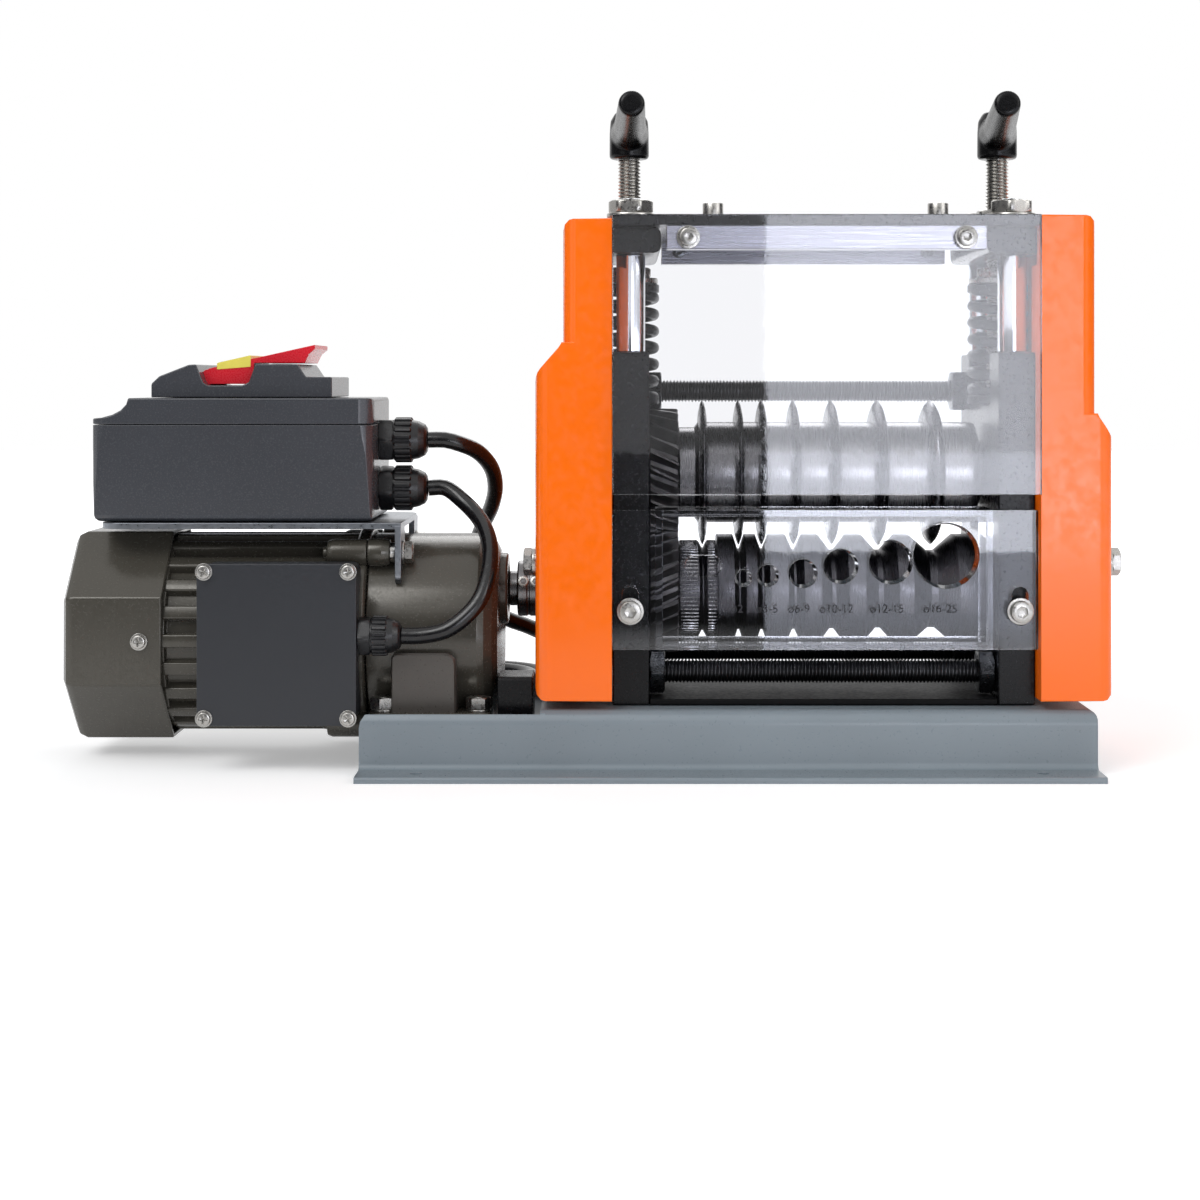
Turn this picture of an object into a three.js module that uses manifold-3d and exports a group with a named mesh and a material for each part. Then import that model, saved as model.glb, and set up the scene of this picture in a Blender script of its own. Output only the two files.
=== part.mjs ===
// Wire stripping machine: a geared motor drives a pair of rolls, and seven round blades on the upper
// roll run in the grooves of the lower one. Two press screws set the height of the upper roll.
// Millimetres. X runs along the rolls, Y from the feed side to the rear, Z up from the bench.
// In the sizes below X = 0 lies midway between the side plates and Y = 0 in the plane of the rolls.
import * as THREE from "three";
import { mergeVertices } from "three/addons/utils/BufferGeometryUtils.js";
import Module from "manifold-3d";

const wasm = await Module();
wasm.setup();

// Fits
const seat_gap = 0.3;
const running_gap = 0.4;
const overrun = 2;

// Base pan
const base_length = 300;
const base_right_x = 110;
const base_depth = 128;
const base_flange_width = 18;
const base_flange_thickness = 2.6;
const base_height = 26.3;
const base_sheet = 2;
const base_bend_radius = 6;
const base_end_radius = 7;
const base_deck_edge_x = -116.5;
const base_lower_deck_z = 13.7;
const base_lower_deck_thickness = 3;
const base_hole_radius = 2.5;
const base_hole_inset = 24;

// Side plates, with a slot for the sliding bearing blocks
const side_inner_x = 72;
const side_thickness = 15;
const side_depth = 100;
const side_top_z = 172;
const slot_width = 53.4;
const slot_floor_z = 95;
const slot_floor_radius = 6;
const side_front_edge_radius = 1.5;
const floor_plate_thickness = 2.5;

// Rolls
const lower_axis_z = 70.1;
const axis_distance = 50.5;
const shaft_radius = 10;
const shaft_end_inset = 4;
const drum_radius = 21.75;
const drum_end_gap = 3;
const collar_radius = 19.5;
const collar_length = 7;
const blade_radius = 31.3;
const blade_edge_land = 0.3;
const blade_places = [-48.4, -32.8, -22.8, -9, 7.5, 27.5, 50.5];
const blade_widths = [3.6, 3.6, 4, 4.6, 5.2, 6.2, 7.4];
const blade_bulge_shares = [1, 0.86, 0.48];
const blade_height_shares = [0, 0.45, 0.8];
const lower_roll_radius = 23.65;
const knurl_radius = 20.6;
const knurl_outer_width = 4.4;
const groove_widths = [3.4, 5, 5.6, 7, 9.5, 13.5, 19.5];
const groove_depths = [5.8, 6.2, 6.2, 6.3, 6.5, 6.8, 7];
const groove_floor_share = 0.16;
const coupling_radius = 12;
const coupling_length = 15;
const coupling_left_x = -132;
const coupling_shaft_radius = 8;
const coupling_hub_radius = 7.5;
const coupling_hub_length = 4;
const coupling_hole_gap = 2;

// Helical gear pair
const gear_teeth = 24;
const gear_width = 12.4;
const gear_twist_deg = 12;
const gear_addendum = 2.35;
const gear_dedendum = 3.4;
const gear_root_share = 0.66;
const gear_pitch_share = 0.345;
const gear_tip_share = 0.17;
const gear_slices = 1;
const gear_inner_gap = 0.6;

// Carriage: bearing blocks, springs, press screws and handles
const block_height = 49.4;
const block_below_axis = 20;
const screw_offset = 0.5;
const screw_radius = 5;
const screw_foot_depth = 12;
const screw_head_z = 262;
const washer_radius = 12.4;
const washer_thickness = 2.4;
const press_nut_flats = 17;
const press_nut_height = 4.6;
const spring_outer_radius = 13;
const spring_wire_width = 4.4;
const spring_wire_height = 5.2;
const spring_top_z = 202;
const spring_pitch = 7.2;
const handle_bottom_z = 256.5;
const handle_hub_height = 17;
const handle_hub_radius = 8.3;
const handle_neck_radius = 7.1;
const handle_skirt_height = 4;
const handle_bore_depth = 8;
const handle_arm_length = 58;
const handle_arm_root_radius = 6.6;
const handle_arm_end_radius = 5.5;
const handle_arm_rise_deg = 7;

// Head: guide rods, bars, top plate and guard
const rod_place_y = 38;
const rod_radius = 6;
const stud_radius = 5;
const stud_depth = 9;
const top_bar_width = 26;
const top_bar_bottom_z = 213;
const top_bar_height = 10.4;
const top_bar_edge_radius = 3;
const top_plate_depth = 124;
const top_plate_thickness = 4.4;
const rod_washer_radius = 10;
const rod_washer_thickness = 1.6;
const rod_nut_flats = 16.4;
const rod_nut_height = 5.4;
const guard_bar_end_gap = 7;
const guard_bar_side = 9.6;
const guard_thickness = 3;
const guard_bottom_z = 114;

// Feed guide
const guide_overhang = 0.2;
const guide_thickness = 6;
const guide_top_z = 107.4;
const guide_bottom_z = 50.1;
const guide_box_gap = 2.6;
const guide_box_wall = 3;
const guide_box_depth = 19;
const guide_hole_places = [-33.4, -23.5, -9.1, 6.4, 26.9, 49.6];
const guide_hole_drops = [27.9, 26.9, 26, 23.1, 21.4, 18.7];
const guide_hole_diameters = [7, 9, 11.8, 14.3, 18, 27];
const guide_oblong_x = -49.8;
const guide_oblong_drop = 23;
const guide_oblong_length = 15;
const guide_oblong_height = 8.6;
const guide_slot_top_z = 75.9;
const guide_slot_bottom_z = 60;
const guide_slot_width = 6.8;
const guide_screw_z = 66;
const guide_screw_radius = 3;
const guide_screw_head_radius = 5.5;
const guide_screw_head_height = 5;

// Tie rods
const tie_rod_radius = 5;
const tie_nut_flats = 17;
const tie_nut_height = 6.4;
const tie_lower_z = 38.9;
const tie_lower_y = 36;
const tie_upper_z = 155.6;
const tie_upper_y = 39;

// Orange side covers
const cover_sheet = 1.6;
const cover_bottom_z = 29.7;
const cover_edge_radius = 5;
const cover_lip_width = 22;
const left_cover = {
  top_z: 226.5,
  upper_reach: 20.2,
  lower_reach: 31.6,
  step_top_z: 176,
  step_bottom_z: 163,
};
const right_cover = {
  top_z: 228,
  upper_reach: 23,
  lower_reach: 29.9,
  step_top_z: 147,
  step_bottom_z: 137,
};
const cover_step_radius = 8;
const cover_window_margin = 5;
const cover_bolt_y = -48;
const cover_bolt_z = 85.6;
const cover_bolt_flats = 10;
const cover_bolt_height = 4;
const cover_bolt_washer_radius = 6;
const cover_bolt_washer_thickness = 1.6;

// Motor and gearbox
const motor_axis_z = 52;
const motor_left_x = -274;
const motor_right_x = -196;
const motor_radius = 42.5;
const motor_core_radius = 38.6;
const motor_fins = 22;
const motor_fin_share = 0.46;
const motor_flange_radius = 44.6;
const motor_flange_thickness = 5.7;
const motor_spigot_length = 6;
const motor_bore_depth = 9;
const fan_cover_left_x = -316;
const fan_cover_flats = 88;
const fan_cover_wall = 2;
const fan_cover_end_radius = 5;
const fan_vents = 12;
const fan_vent_inner_share = 0.32;
const fan_vent_outer_share = 0.78;
const fan_vent_width = 5;
const fan_radius = 36;
const fan_hub_radius = 11;
const fan_blades = 8;
const fan_blade_thickness = 2;
const fan_width = 16;
const fan_end_gap = 6;
const rotor_shaft_radius = 6;
const gearbox_left_x = -190;
const gearbox_right_x = -135.5;
const gearbox_radius = 42;
const gearbox_nose_radius = 35;
const gearbox_nose_length = 8;
const gearbox_foot_width = 100;
const gearbox_foot_top_z = 23;
const gearbox_foot_inset = 2;
const gearbox_boss_radius = 15.3;
const gearbox_boss_length = 3.2;
const foot_block = { left_x: -178.7, right_x: -152, top_z: 47.5, front_y: -47 };
const foot_block_radius = 5;
const deck_block = { left_x: -134.5, right_x: -120, front_y: -50, rear_y: -27, top_z: 38.2 };
const deck_block_radius = 1.5;
const through_bolt_y = 30;
const through_bolt_rise = 36;
const through_bolt_radius = 5.2;
const through_bolt_left_x = -207;
const through_bolt_right_x = -178.3;
const terminal_left_x = -256.6;
const terminal_right_x = -191.6;
const terminal_bottom_z = 19.5;
const terminal_top_z = 85.5;
const terminal_front_y = -60;
const terminal_back_y = -37;
const terminal_lid_thickness = 3;
const terminal_lid_overhang = 0.8;
const terminal_corner_radius = 3;

// Switch box on its bracket
const bracket_sheet = 2.5;
const bracket_left_x = -302;
const bracket_right_x = -175.5;
const bracket_front_y = -38;
const bracket_rear_y = 42;
const bracket_top_z = 100.8;
const bracket_leg_bottom_z = 75;
const bracket_leg_width = 17;
const bracket_corner_radius = 9;
const box_left_x = -306;
const box_right_x = -187.5;
const box_front_y = -36;
const box_rear_y = 34;
const box_body_height = 40.6;
const box_corner_radius = 6;
const box_foot_taper = 2.5;
const lid_height = 11;
const lid_step_length = 16;
const lid_step_height = 2.4;
const switch_left_x = -281.7;
const switch_right_x = -205.5;
const switch_half_depth = 29;
const switch_cheek_height = 14;
const switch_shoulder_height = 7;
const switch_recess_left_x = -262.8;
const switch_recess_right_x = -239.4;
const switch_recess_height = 5;
const switch_step_x = -220;
const switch_step_height = 8.6;
const switch_slope_x = -266;
const flap_half_depth = 20;
const flap_right_x = -213.9;
const flap_lift = 8.3;
const flap_sheet = 1.8;
const flap_hinge_radius = 3.3;
const button_radius = 5.4;
const button_x = -229.5;
const button_place_y = 9;
const button_height = 5.2;
const button_proud = 0.2;
const button_travel = 1.5;

// Cable glands and cables
const cable_radius = 3.5;
const gland_radius = 9.8;
const gland_flange_length = 6;
const gland_nut_length = 14.4;
const gland_nose_radius = 6.4;
const gland_ribs = 10;
const gland_rib_depth = 0.8;
const gland_y = -8;
const mains_gland_z = 134.8;
const lead_gland_z = 114.1;
const terminal_gland_y = -51.2;
const terminal_gland_z = 55.4;
const terminal_gland_share = 0.85;
const coil_middle_radius = 38;
const coil_turns = 2.5;
const coil_turn_gap = 0.7;
const coil_centre_x = -160;
const coil_centre_y = 145;
const coil_tail_length = 16;
const plug_length = 38;
const plug_radius = 11.2;
const plug_neck_length = 14;
const plug_pin_radius = 2;
const plug_pin_length = 19;
const plug_pin_spacing = 19;

// Shares
const rounding_share = 0.98;
const wire_corner_share = 1.08;
const pin_inset_share = 0.8;
const plug_neck_shares = [1.3, 1.6];
const plug_shoulder_share = 0.8;
const handle_dome_share = 1.5;

// Sides of round forms
const fine_sides = 24;
const round_sides = 14;
const small_sides = 10;

// Worked out from the sizes above
const side_outer_x = side_inner_x + side_thickness;
const side_middle_x = side_inner_x + side_thickness / 2;
const screw_place_x = side_middle_x + screw_offset;
const rod_place_x = side_middle_x;
const guide_slot_x = side_middle_x + seat_gap;
const guide_width = 2 * (side_outer_x + guide_overhang);
const guide_box_half_width = side_inner_x - guide_box_gap;
const guard_bar_length = 2 * (side_inner_x - guard_bar_end_gap);
const top_plate_width = 2 * side_outer_x;
const cover_depth = top_plate_depth;
const upper_axis_z = lower_axis_z + axis_distance;
const frame_foot_z = base_height + seat_gap;
const top_plate_z = top_bar_bottom_z + top_bar_height + seat_gap;
const top_plate_top_z = top_plate_z + top_plate_thickness;
const cover_inner_x = side_outer_x + seat_gap;
const gear_outer_x = side_inner_x - gear_inner_gap;
const base_left_x = base_right_x - base_length;
const box_bottom_z = bracket_top_z + seat_gap;
const box_top_z = box_bottom_z + box_body_height;
const lid_bottom_z = box_top_z + seat_gap;
const lid_top_z = lid_bottom_z + lid_height;
const switch_bottom_z = lid_top_z + seat_gap;
const switch_top_z = switch_bottom_z + switch_cheek_height;
const gear_left_x = -gear_outer_x;
const roll_left_x = gear_left_x + gear_width + running_gap;
const block_top_z = upper_axis_z - block_below_axis + block_height;
const guide_front_y = -side_depth / 2 - seat_gap - guide_thickness;
const flap_hinge_x = switch_recess_left_x + flap_hinge_radius + seat_gap;
const flap_hinge_z = switch_bottom_z + switch_recess_height + flap_hinge_radius + seat_gap;
const object_left_x = fan_cover_left_x;
const object_right_x =
  side_outer_x + right_cover.lower_reach + cover_bolt_washer_thickness + cover_bolt_height;

// Solids and operations

function solidOf(geometry) {
  const bare = geometry.index ? geometry.toNonIndexed() : geometry;
  const points = new THREE.BufferGeometry();
  points.setAttribute("position", bare.getAttribute("position"));
  const merged = mergeVertices(points, 1e-4);
  const index = merged.index.array;
  const faces = [];
  for (let i = 0; i < index.length; i += 3) {
    const [a, b, c] = [index[i], index[i + 1], index[i + 2]];
    if (a !== b && b !== c && c !== a) faces.push(a, b, c);
  }
  return new wasm.Manifold(
    new wasm.Mesh({
      numProp: 3,
      vertProperties: new Float32Array(merged.attributes.position.array),
      triVerts: new Uint32Array(faces),
    }),
  );
}

function geometryOf(solid) {
  const mesh = solid.getMesh();
  const geometry = new THREE.BufferGeometry();
  const points = new Float32Array(mesh.numVert * 3);
  for (let i = 0; i < mesh.numVert; i++) {
    const at = i * mesh.numProp;
    points.set(mesh.vertProperties.subarray(at, at + 3), i * 3);
  }
  geometry.setAttribute("position", new THREE.BufferAttribute(points, 3));
  geometry.setIndex(new THREE.BufferAttribute(new Uint32Array(mesh.triVerts), 1));
  geometry.computeVertexNormals();
  return geometry;
}

const join = (...solids) => solids.reduce((whole, next) => whole.add(next));
const cut = (solid, ...tools) => tools.reduce((rest, tool) => rest.subtract(tool), solid);
const common = (...solids) => solids.reduce((whole, next) => whole.intersect(next));
const mirrored = (points) => points.map(([x, ...rest]) => [-x, ...rest]).reverse();

function box(x0, x1, y0, y1, z0, z1) {
  const geometry = new THREE.BoxGeometry(x1 - x0, y1 - y0, z1 - z0);
  return solidOf(geometry.translate((x0 + x1) / 2, (y0 + y1) / 2, (z0 + z1) / 2));
}

// Corners are [x, y, radius]; a corner with no radius stays sharp.
function roundedOutline(corners, steps = 4) {
  const points = [];
  corners.forEach(([x, y, radius], i) => {
    const corner = new THREE.Vector2(x, y);
    if (!radius) {
      points.push(corner);
      return;
    }
    const before = corners[(i + corners.length - 1) % corners.length];
    const after = corners[(i + 1) % corners.length];
    const a = new THREE.Vector2(before[0], before[1]).sub(corner).normalize();
    const b = new THREE.Vector2(after[0], after[1]).sub(corner).normalize();
    const half = Math.acos(THREE.MathUtils.clamp(a.dot(b), -1, 1)) / 2;
    const centre = a.clone().add(b).normalize().multiplyScalar(radius / Math.sin(half)).add(corner);
    const from = a.clone().multiplyScalar(radius / Math.tan(half)).add(corner).sub(centre);
    const to = b.clone().multiplyScalar(radius / Math.tan(half)).add(corner).sub(centre);
    const sweep = Math.atan2(from.cross(to), from.dot(to));
    for (let k = 0; k <= steps; k++) {
      points.push(from.clone().rotateAround(new THREE.Vector2(), (sweep * k) / steps).add(centre));
    }
  });
  return points;
}

function extruded(points, depth) {
  const shape = new THREE.Shape(points);
  return new THREE.ExtrudeGeometry(shape, { depth, bevelEnabled: false, steps: 1 });
}

const alongXBasis = new THREE.Matrix4().makeBasis(
  new THREE.Vector3(0, 1, 0),
  new THREE.Vector3(0, 0, 1),
  new THREE.Vector3(1, 0, 0),
);

// Outline in Y and Z, pulled along X.
function prismX(corners, x0, x1, steps) {
  const geometry = extruded(roundedOutline(corners, steps), x1 - x0);
  return solidOf(geometry.applyMatrix4(alongXBasis).translate(x0, 0, 0));
}

// Outline in X and Z, pulled along Y.
function prismY(corners, y0, y1, steps) {
  const geometry = extruded(roundedOutline(corners, steps), y1 - y0);
  return solidOf(geometry.rotateX(Math.PI / 2).translate(0, y1, 0));
}

// Outline in X and Y, pulled along Z.
function prismZ(corners, z0, z1, steps) {
  const geometry = extruded(roundedOutline(corners, steps), z1 - z0);
  return solidOf(geometry.translate(0, 0, z0));
}

// A profile of [radius, place along the axis] turned about its axis.
function turned(profile, sides, turn = 0) {
  const area = profile.reduce((sum, [r, a], i) => {
    const [nextR, nextA] = profile[(i + 1) % profile.length];
    return sum + r * nextA - nextR * a;
  }, 0);
  const closed = profile.every(([r]) => r > 0);
  const ordered = area > 0 ? profile : [...profile].reverse();
  const points = ordered.map(([r, a]) => new THREE.Vector2(r, a));
  if (closed) points.push(points[0].clone());
  return new THREE.LatheGeometry(points, sides, turn);
}

function turnX(profile, sides, y = 0, z = 0, turn = 0) {
  return solidOf(turned(profile, sides, turn).rotateZ(-Math.PI / 2).translate(0, y, z));
}

function turnY(profile, sides, x = 0, z = 0) {
  return solidOf(turned(profile, sides).translate(x, 0, z));
}

function turnZ(profile, sides, x = 0, y = 0) {
  return solidOf(turned(profile, sides).rotateX(Math.PI / 2).translate(x, y, 0));
}

const rodProfile = (radius, from, to) => [
  [0, from],
  [radius, from],
  [radius, to],
  [0, to],
];
const hexProfile = (flats, from, to) => rodProfile(flats / Math.sqrt(3), from, to);

// A tube whose section follows a list of stations, each with a centre, an outward and an upward
// direction.
function wound(stations, sides, halfWidth, halfHeight) {
  const points = [];
  const faces = [];
  for (const { centre, outward, upward } of stations) {
    for (let k = 0; k < sides; k++) {
      const angle = (2 * Math.PI * (k + 0.5)) / sides;
      points.push(
        centre
          .clone()
          .addScaledVector(outward, halfWidth * Math.cos(angle))
          .addScaledVector(upward, halfHeight * Math.sin(angle)),
      );
    }
  }
  const last = (stations.length - 1) * sides;
  for (let a = 0; a < last; a++) {
    const b = a - (a % sides) + ((a + 1) % sides);
    faces.push(a, b, b + sides, a, b + sides, a + sides);
  }
  for (let k = 1; k < sides - 1; k++) {
    faces.push(0, k + 1, k, last, last + k, last + k + 1);
  }
  const geometry = new THREE.BufferGeometry().setFromPoints(points);
  geometry.setIndex(faces);
  const solid = solidOf(geometry);
  if (solid.volume() > 0) return solid;
  geometry.setIndex([...faces].reverse());
  return solidOf(geometry);
}

// The least distance between centres that lie more than a given number of stations apart.
function leastDistance(stations, apart) {
  let least = Infinity;
  stations.forEach(({ centre }, i) => {
    for (const other of stations.slice(i + apart)) {
      least = Math.min(least, centre.distanceTo(other.centre));
    }
  });
  return least;
}

// A round tube along a smooth curve through the given places.
function tubeThrough(places, radius, sides, steps) {
  const curve = new THREE.CatmullRomCurve3(places.map(([x, y, z]) => new THREE.Vector3(x, y, z)));
  const section = [];
  for (let k = 0; k < sides; k++) {
    const angle = (2 * Math.PI * k) / sides;
    section.push(new THREE.Vector2(radius * Math.cos(angle), radius * Math.sin(angle)));
  }
  const geometry = new THREE.ExtrudeGeometry(new THREE.Shape(section), {
    steps,
    extrudePath: curve,
    bevelEnabled: false,
  });
  return { solid: solidOf(geometry), length: curve.getLength() };
}

const machine = new THREE.Group();
machine.position.x = -(object_left_x + object_right_x) / 2;

function finish(color, roughness, metalness, more = {}) {
  return new THREE.MeshStandardMaterial({ color, roughness, metalness, ...more });
}

function add(name, solid, material) {
  const mesh = new THREE.Mesh(geometryOf(solid), material);
  mesh.name = name;
  machine.add(mesh);
}

const finishes = {
  base: () => finish(0x7d858e, 0.5, 0.1),
  black: () => finish(0x1b1c1f, 0.5, 0.2),
  steel: () => finish(0x9a9a9c, 0.35, 0.9),
  chrome: () => finish(0xdadde0, 0.12, 1),
  aluminium: () => finish(0x96969b, 0.4, 0.9),
  acrylic: () => finish(0xe6e6f2, 0.05, 0, { transparent: true, opacity: 0.3 }),
  orange: () => finish(0xff7323, 0.35, 0.05),
  motor: () => finish(0x4b4842, 0.45, 0.5),
  plastic: () => finish(0x1d1d20, 0.45, 0),
  rubber: () => finish(0x131315, 0.7, 0),
  red: () => finish(0xbe232d, 0.4, 0),
  green: () => finish(0x1f8f3a, 0.4, 0),
};

// Base pan: folded sheet, with the deck cut away at the motor end where the gearbox stands lower.
function basePan() {
  const wall = base_depth / 2;
  const edge = wall + base_flange_width;
  const inner = wall - base_sheet;
  const top = base_height;
  const outer = prismX(
    [
      [-edge, 0, 0],
      [edge, 0, 0],
      [edge, base_flange_thickness, base_flange_thickness / 2],
      [wall, base_flange_thickness, base_flange_thickness],
      [wall, top, base_bend_radius],
      [-wall, top, base_bend_radius],
      [-wall, base_flange_thickness, base_flange_thickness],
      [-edge, base_flange_thickness, base_flange_thickness / 2],
    ],
    base_left_x,
    base_right_x,
  );
  const ends = prismY(
    [
      [base_left_x, 0, 0],
      [base_right_x, 0, 0],
      [base_right_x, top, base_end_radius / 2],
      [base_left_x, top, base_end_radius],
    ],
    -edge,
    edge,
  );
  const underside = prismX(
    [
      [-inner, -overrun, 0],
      [inner, -overrun, 0],
      [inner, top - base_sheet, base_bend_radius - base_sheet],
      [-inner, top - base_sheet, base_bend_radius - base_sheet],
    ],
    base_left_x + base_sheet,
    base_right_x - base_sheet,
  );
  const deck_bottom = base_lower_deck_z - base_lower_deck_thickness;
  const riser_x = base_deck_edge_x + base_sheet;
  const trough = box(
    base_left_x - overrun,
    base_deck_edge_x,
    -inner,
    inner,
    base_lower_deck_z,
    top + overrun,
  );
  const middle = wall - base_sheet / 2;
  const deck = box(base_left_x, riser_x, -middle, middle, deck_bottom, base_lower_deck_z);
  const riser = box(base_deck_edge_x, riser_x, -inner, inner, deck_bottom, top - base_sheet / 2);
  let pan = join(cut(common(outer, ends), underside), deck, riser);
  pan = cut(pan, trough);
  for (const x of [base_left_x + base_hole_inset, base_right_x - base_hole_inset]) {
    for (const side of [-1, 1]) {
      const y = side * (wall + base_flange_width / 2);
      const hole = rodProfile(base_hole_radius, -overrun, base_flange_thickness + overrun);
      pan = cut(pan, turnZ(hole, small_sides, x, y));
    }
  }
  return pan;
}

// A side plate: two arms with a slot between them for the bearing block, and the guide's screw.
function sidePlate(side) {
  const edge = side_depth / 2;
  const half = slot_width / 2;
  const corner = side_front_edge_radius;
  const x0 = side > 0 ? side_inner_x : -side_outer_x;
  const x1 = x0 + side_thickness;
  let plate = prismX(
    [
      [-edge, frame_foot_z, 0],
      [edge, frame_foot_z, 0],
      [edge, side_top_z, corner],
      [half, side_top_z, 0],
      [half, slot_floor_z, slot_floor_radius],
      [-half, slot_floor_z, slot_floor_radius],
      [-half, side_top_z, 0],
      [-edge, side_top_z, corner],
    ],
    x0,
    x1,
  );
  const through = (radius, sides, y, z) =>
    turnX(rodProfile(radius, x0 - overrun, x1 + overrun), sides, y, z);
  plate = cut(
    plate,
    through(shaft_radius + running_gap, round_sides, 0, lower_axis_z),
    through(tie_rod_radius + seat_gap, small_sides, -tie_lower_y, tie_lower_z),
    through(tie_rod_radius + seat_gap, small_sides, tie_lower_y, tie_lower_z),
    through(tie_rod_radius + seat_gap, small_sides, tie_upper_y, tie_upper_z),
  );
  for (const y of [-rod_place_y, rod_place_y]) {
    const hole = rodProfile(stud_radius + seat_gap, side_top_z - stud_depth, side_top_z + overrun);
    plate = cut(plate, turnZ(hole, small_sides, side * rod_place_x, y));
  }
  const head_y = guide_front_y - seat_gap;
  const screw = turnY(
    [
      [0, head_y - guide_screw_head_height],
      [guide_screw_head_radius, head_y - guide_screw_head_height],
      [guide_screw_head_radius, head_y],
      [guide_screw_radius, head_y],
      [guide_screw_radius, -edge + overrun],
      [0, -edge + overrun],
    ],
    small_sides,
    side * guide_slot_x,
    guide_screw_z,
  );
  return join(plate, screw);
}

// A rod of a tie bolt with a nut against the inner face of each side plate.
function tieRod(y, z) {
  const nut_face = side_inner_x - seat_gap;
  const rod = turnX(rodProfile(tie_rod_radius, -side_outer_x, side_outer_x), small_sides, y, z);
  const nut = (from) =>
    turnX(hexProfile(tie_nut_flats, from, from + tie_nut_height), 6, y, z, Math.PI / 6);
  return join(rod, nut(-nut_face), nut(nut_face - tie_nut_height));
}

// A guide rod between an arm and the top bar, with its stud, washer and nut on the top plate.
function guideRod(x, y) {
  const washer_z = top_plate_top_z + seat_gap;
  const nut_z = washer_z + rod_washer_thickness;
  const nut_top_z = nut_z + rod_nut_height;
  const rod = turnZ(
    [
      [0, side_top_z - stud_depth + seat_gap],
      [stud_radius, side_top_z - stud_depth + seat_gap],
      [stud_radius, side_top_z + seat_gap],
      [rod_radius, side_top_z + seat_gap],
      [rod_radius, top_bar_bottom_z - seat_gap],
      [stud_radius, top_bar_bottom_z - seat_gap],
      [stud_radius, washer_z],
      [rod_washer_radius, washer_z],
      [rod_washer_radius, nut_z],
      [stud_radius, nut_z],
      [stud_radius, nut_top_z + rod_washer_thickness / 2],
      [0, nut_top_z + rod_washer_thickness / 2],
    ],
    small_sides,
    x,
    y,
  );
  const nut = hexProfile(rod_nut_flats, nut_z - rod_washer_thickness / 2, nut_top_z);
  return join(rod, turnZ(nut, 6, x, y));
}

function studHoles(side, from, to) {
  const hole = (x, y) => turnZ(rodProfile(stud_radius + seat_gap, from, to), small_sides, x, y);
  return [
    hole(side * screw_place_x, 0),
    hole(side * rod_place_x, -rod_place_y),
    hole(side * rod_place_x, rod_place_y),
  ];
}

function topBar(side) {
  const centre = side * screw_place_x;
  const half = top_bar_width / 2;
  const top = top_bar_bottom_z + top_bar_height;
  const bar = prismY(
    [
      [centre - half, top_bar_bottom_z, top_bar_edge_radius],
      [centre + half, top_bar_bottom_z, top_bar_edge_radius],
      [centre + half, top, top_bar_edge_radius],
      [centre - half, top, top_bar_edge_radius],
    ],
    -side_depth / 2,
    side_depth / 2,
  );
  return cut(bar, ...studHoles(side, top_bar_bottom_z - overrun, top + overrun));
}

function topPlate() {
  const half = top_plate_width / 2;
  const edge = top_plate_depth / 2;
  const plate = box(-half, half, -edge, edge, top_plate_z, top_plate_top_z);
  const from = top_plate_z - overrun;
  const to = top_plate_top_z + overrun;
  return cut(plate, ...studHoles(-1, from, to), ...studHoles(1, from, to));
}

// A square bar under the front or rear edge of the top plate.
function guardBar(side) {
  const outer = top_plate_depth / 2;
  const y0 = side < 0 ? -outer : outer - guard_bar_side;
  const top = top_plate_z - seat_gap;
  const half = guard_bar_length / 2;
  return box(-half, half, y0, y0 + guard_bar_side, top - guard_bar_side, top);
}

function upperGuard() {
  const back = -top_plate_depth / 2 - seat_gap;
  const half = top_plate_width / 2;
  return box(-half, half, back - guard_thickness, back, guard_bottom_z, top_plate_top_z - seat_gap);
}

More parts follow.
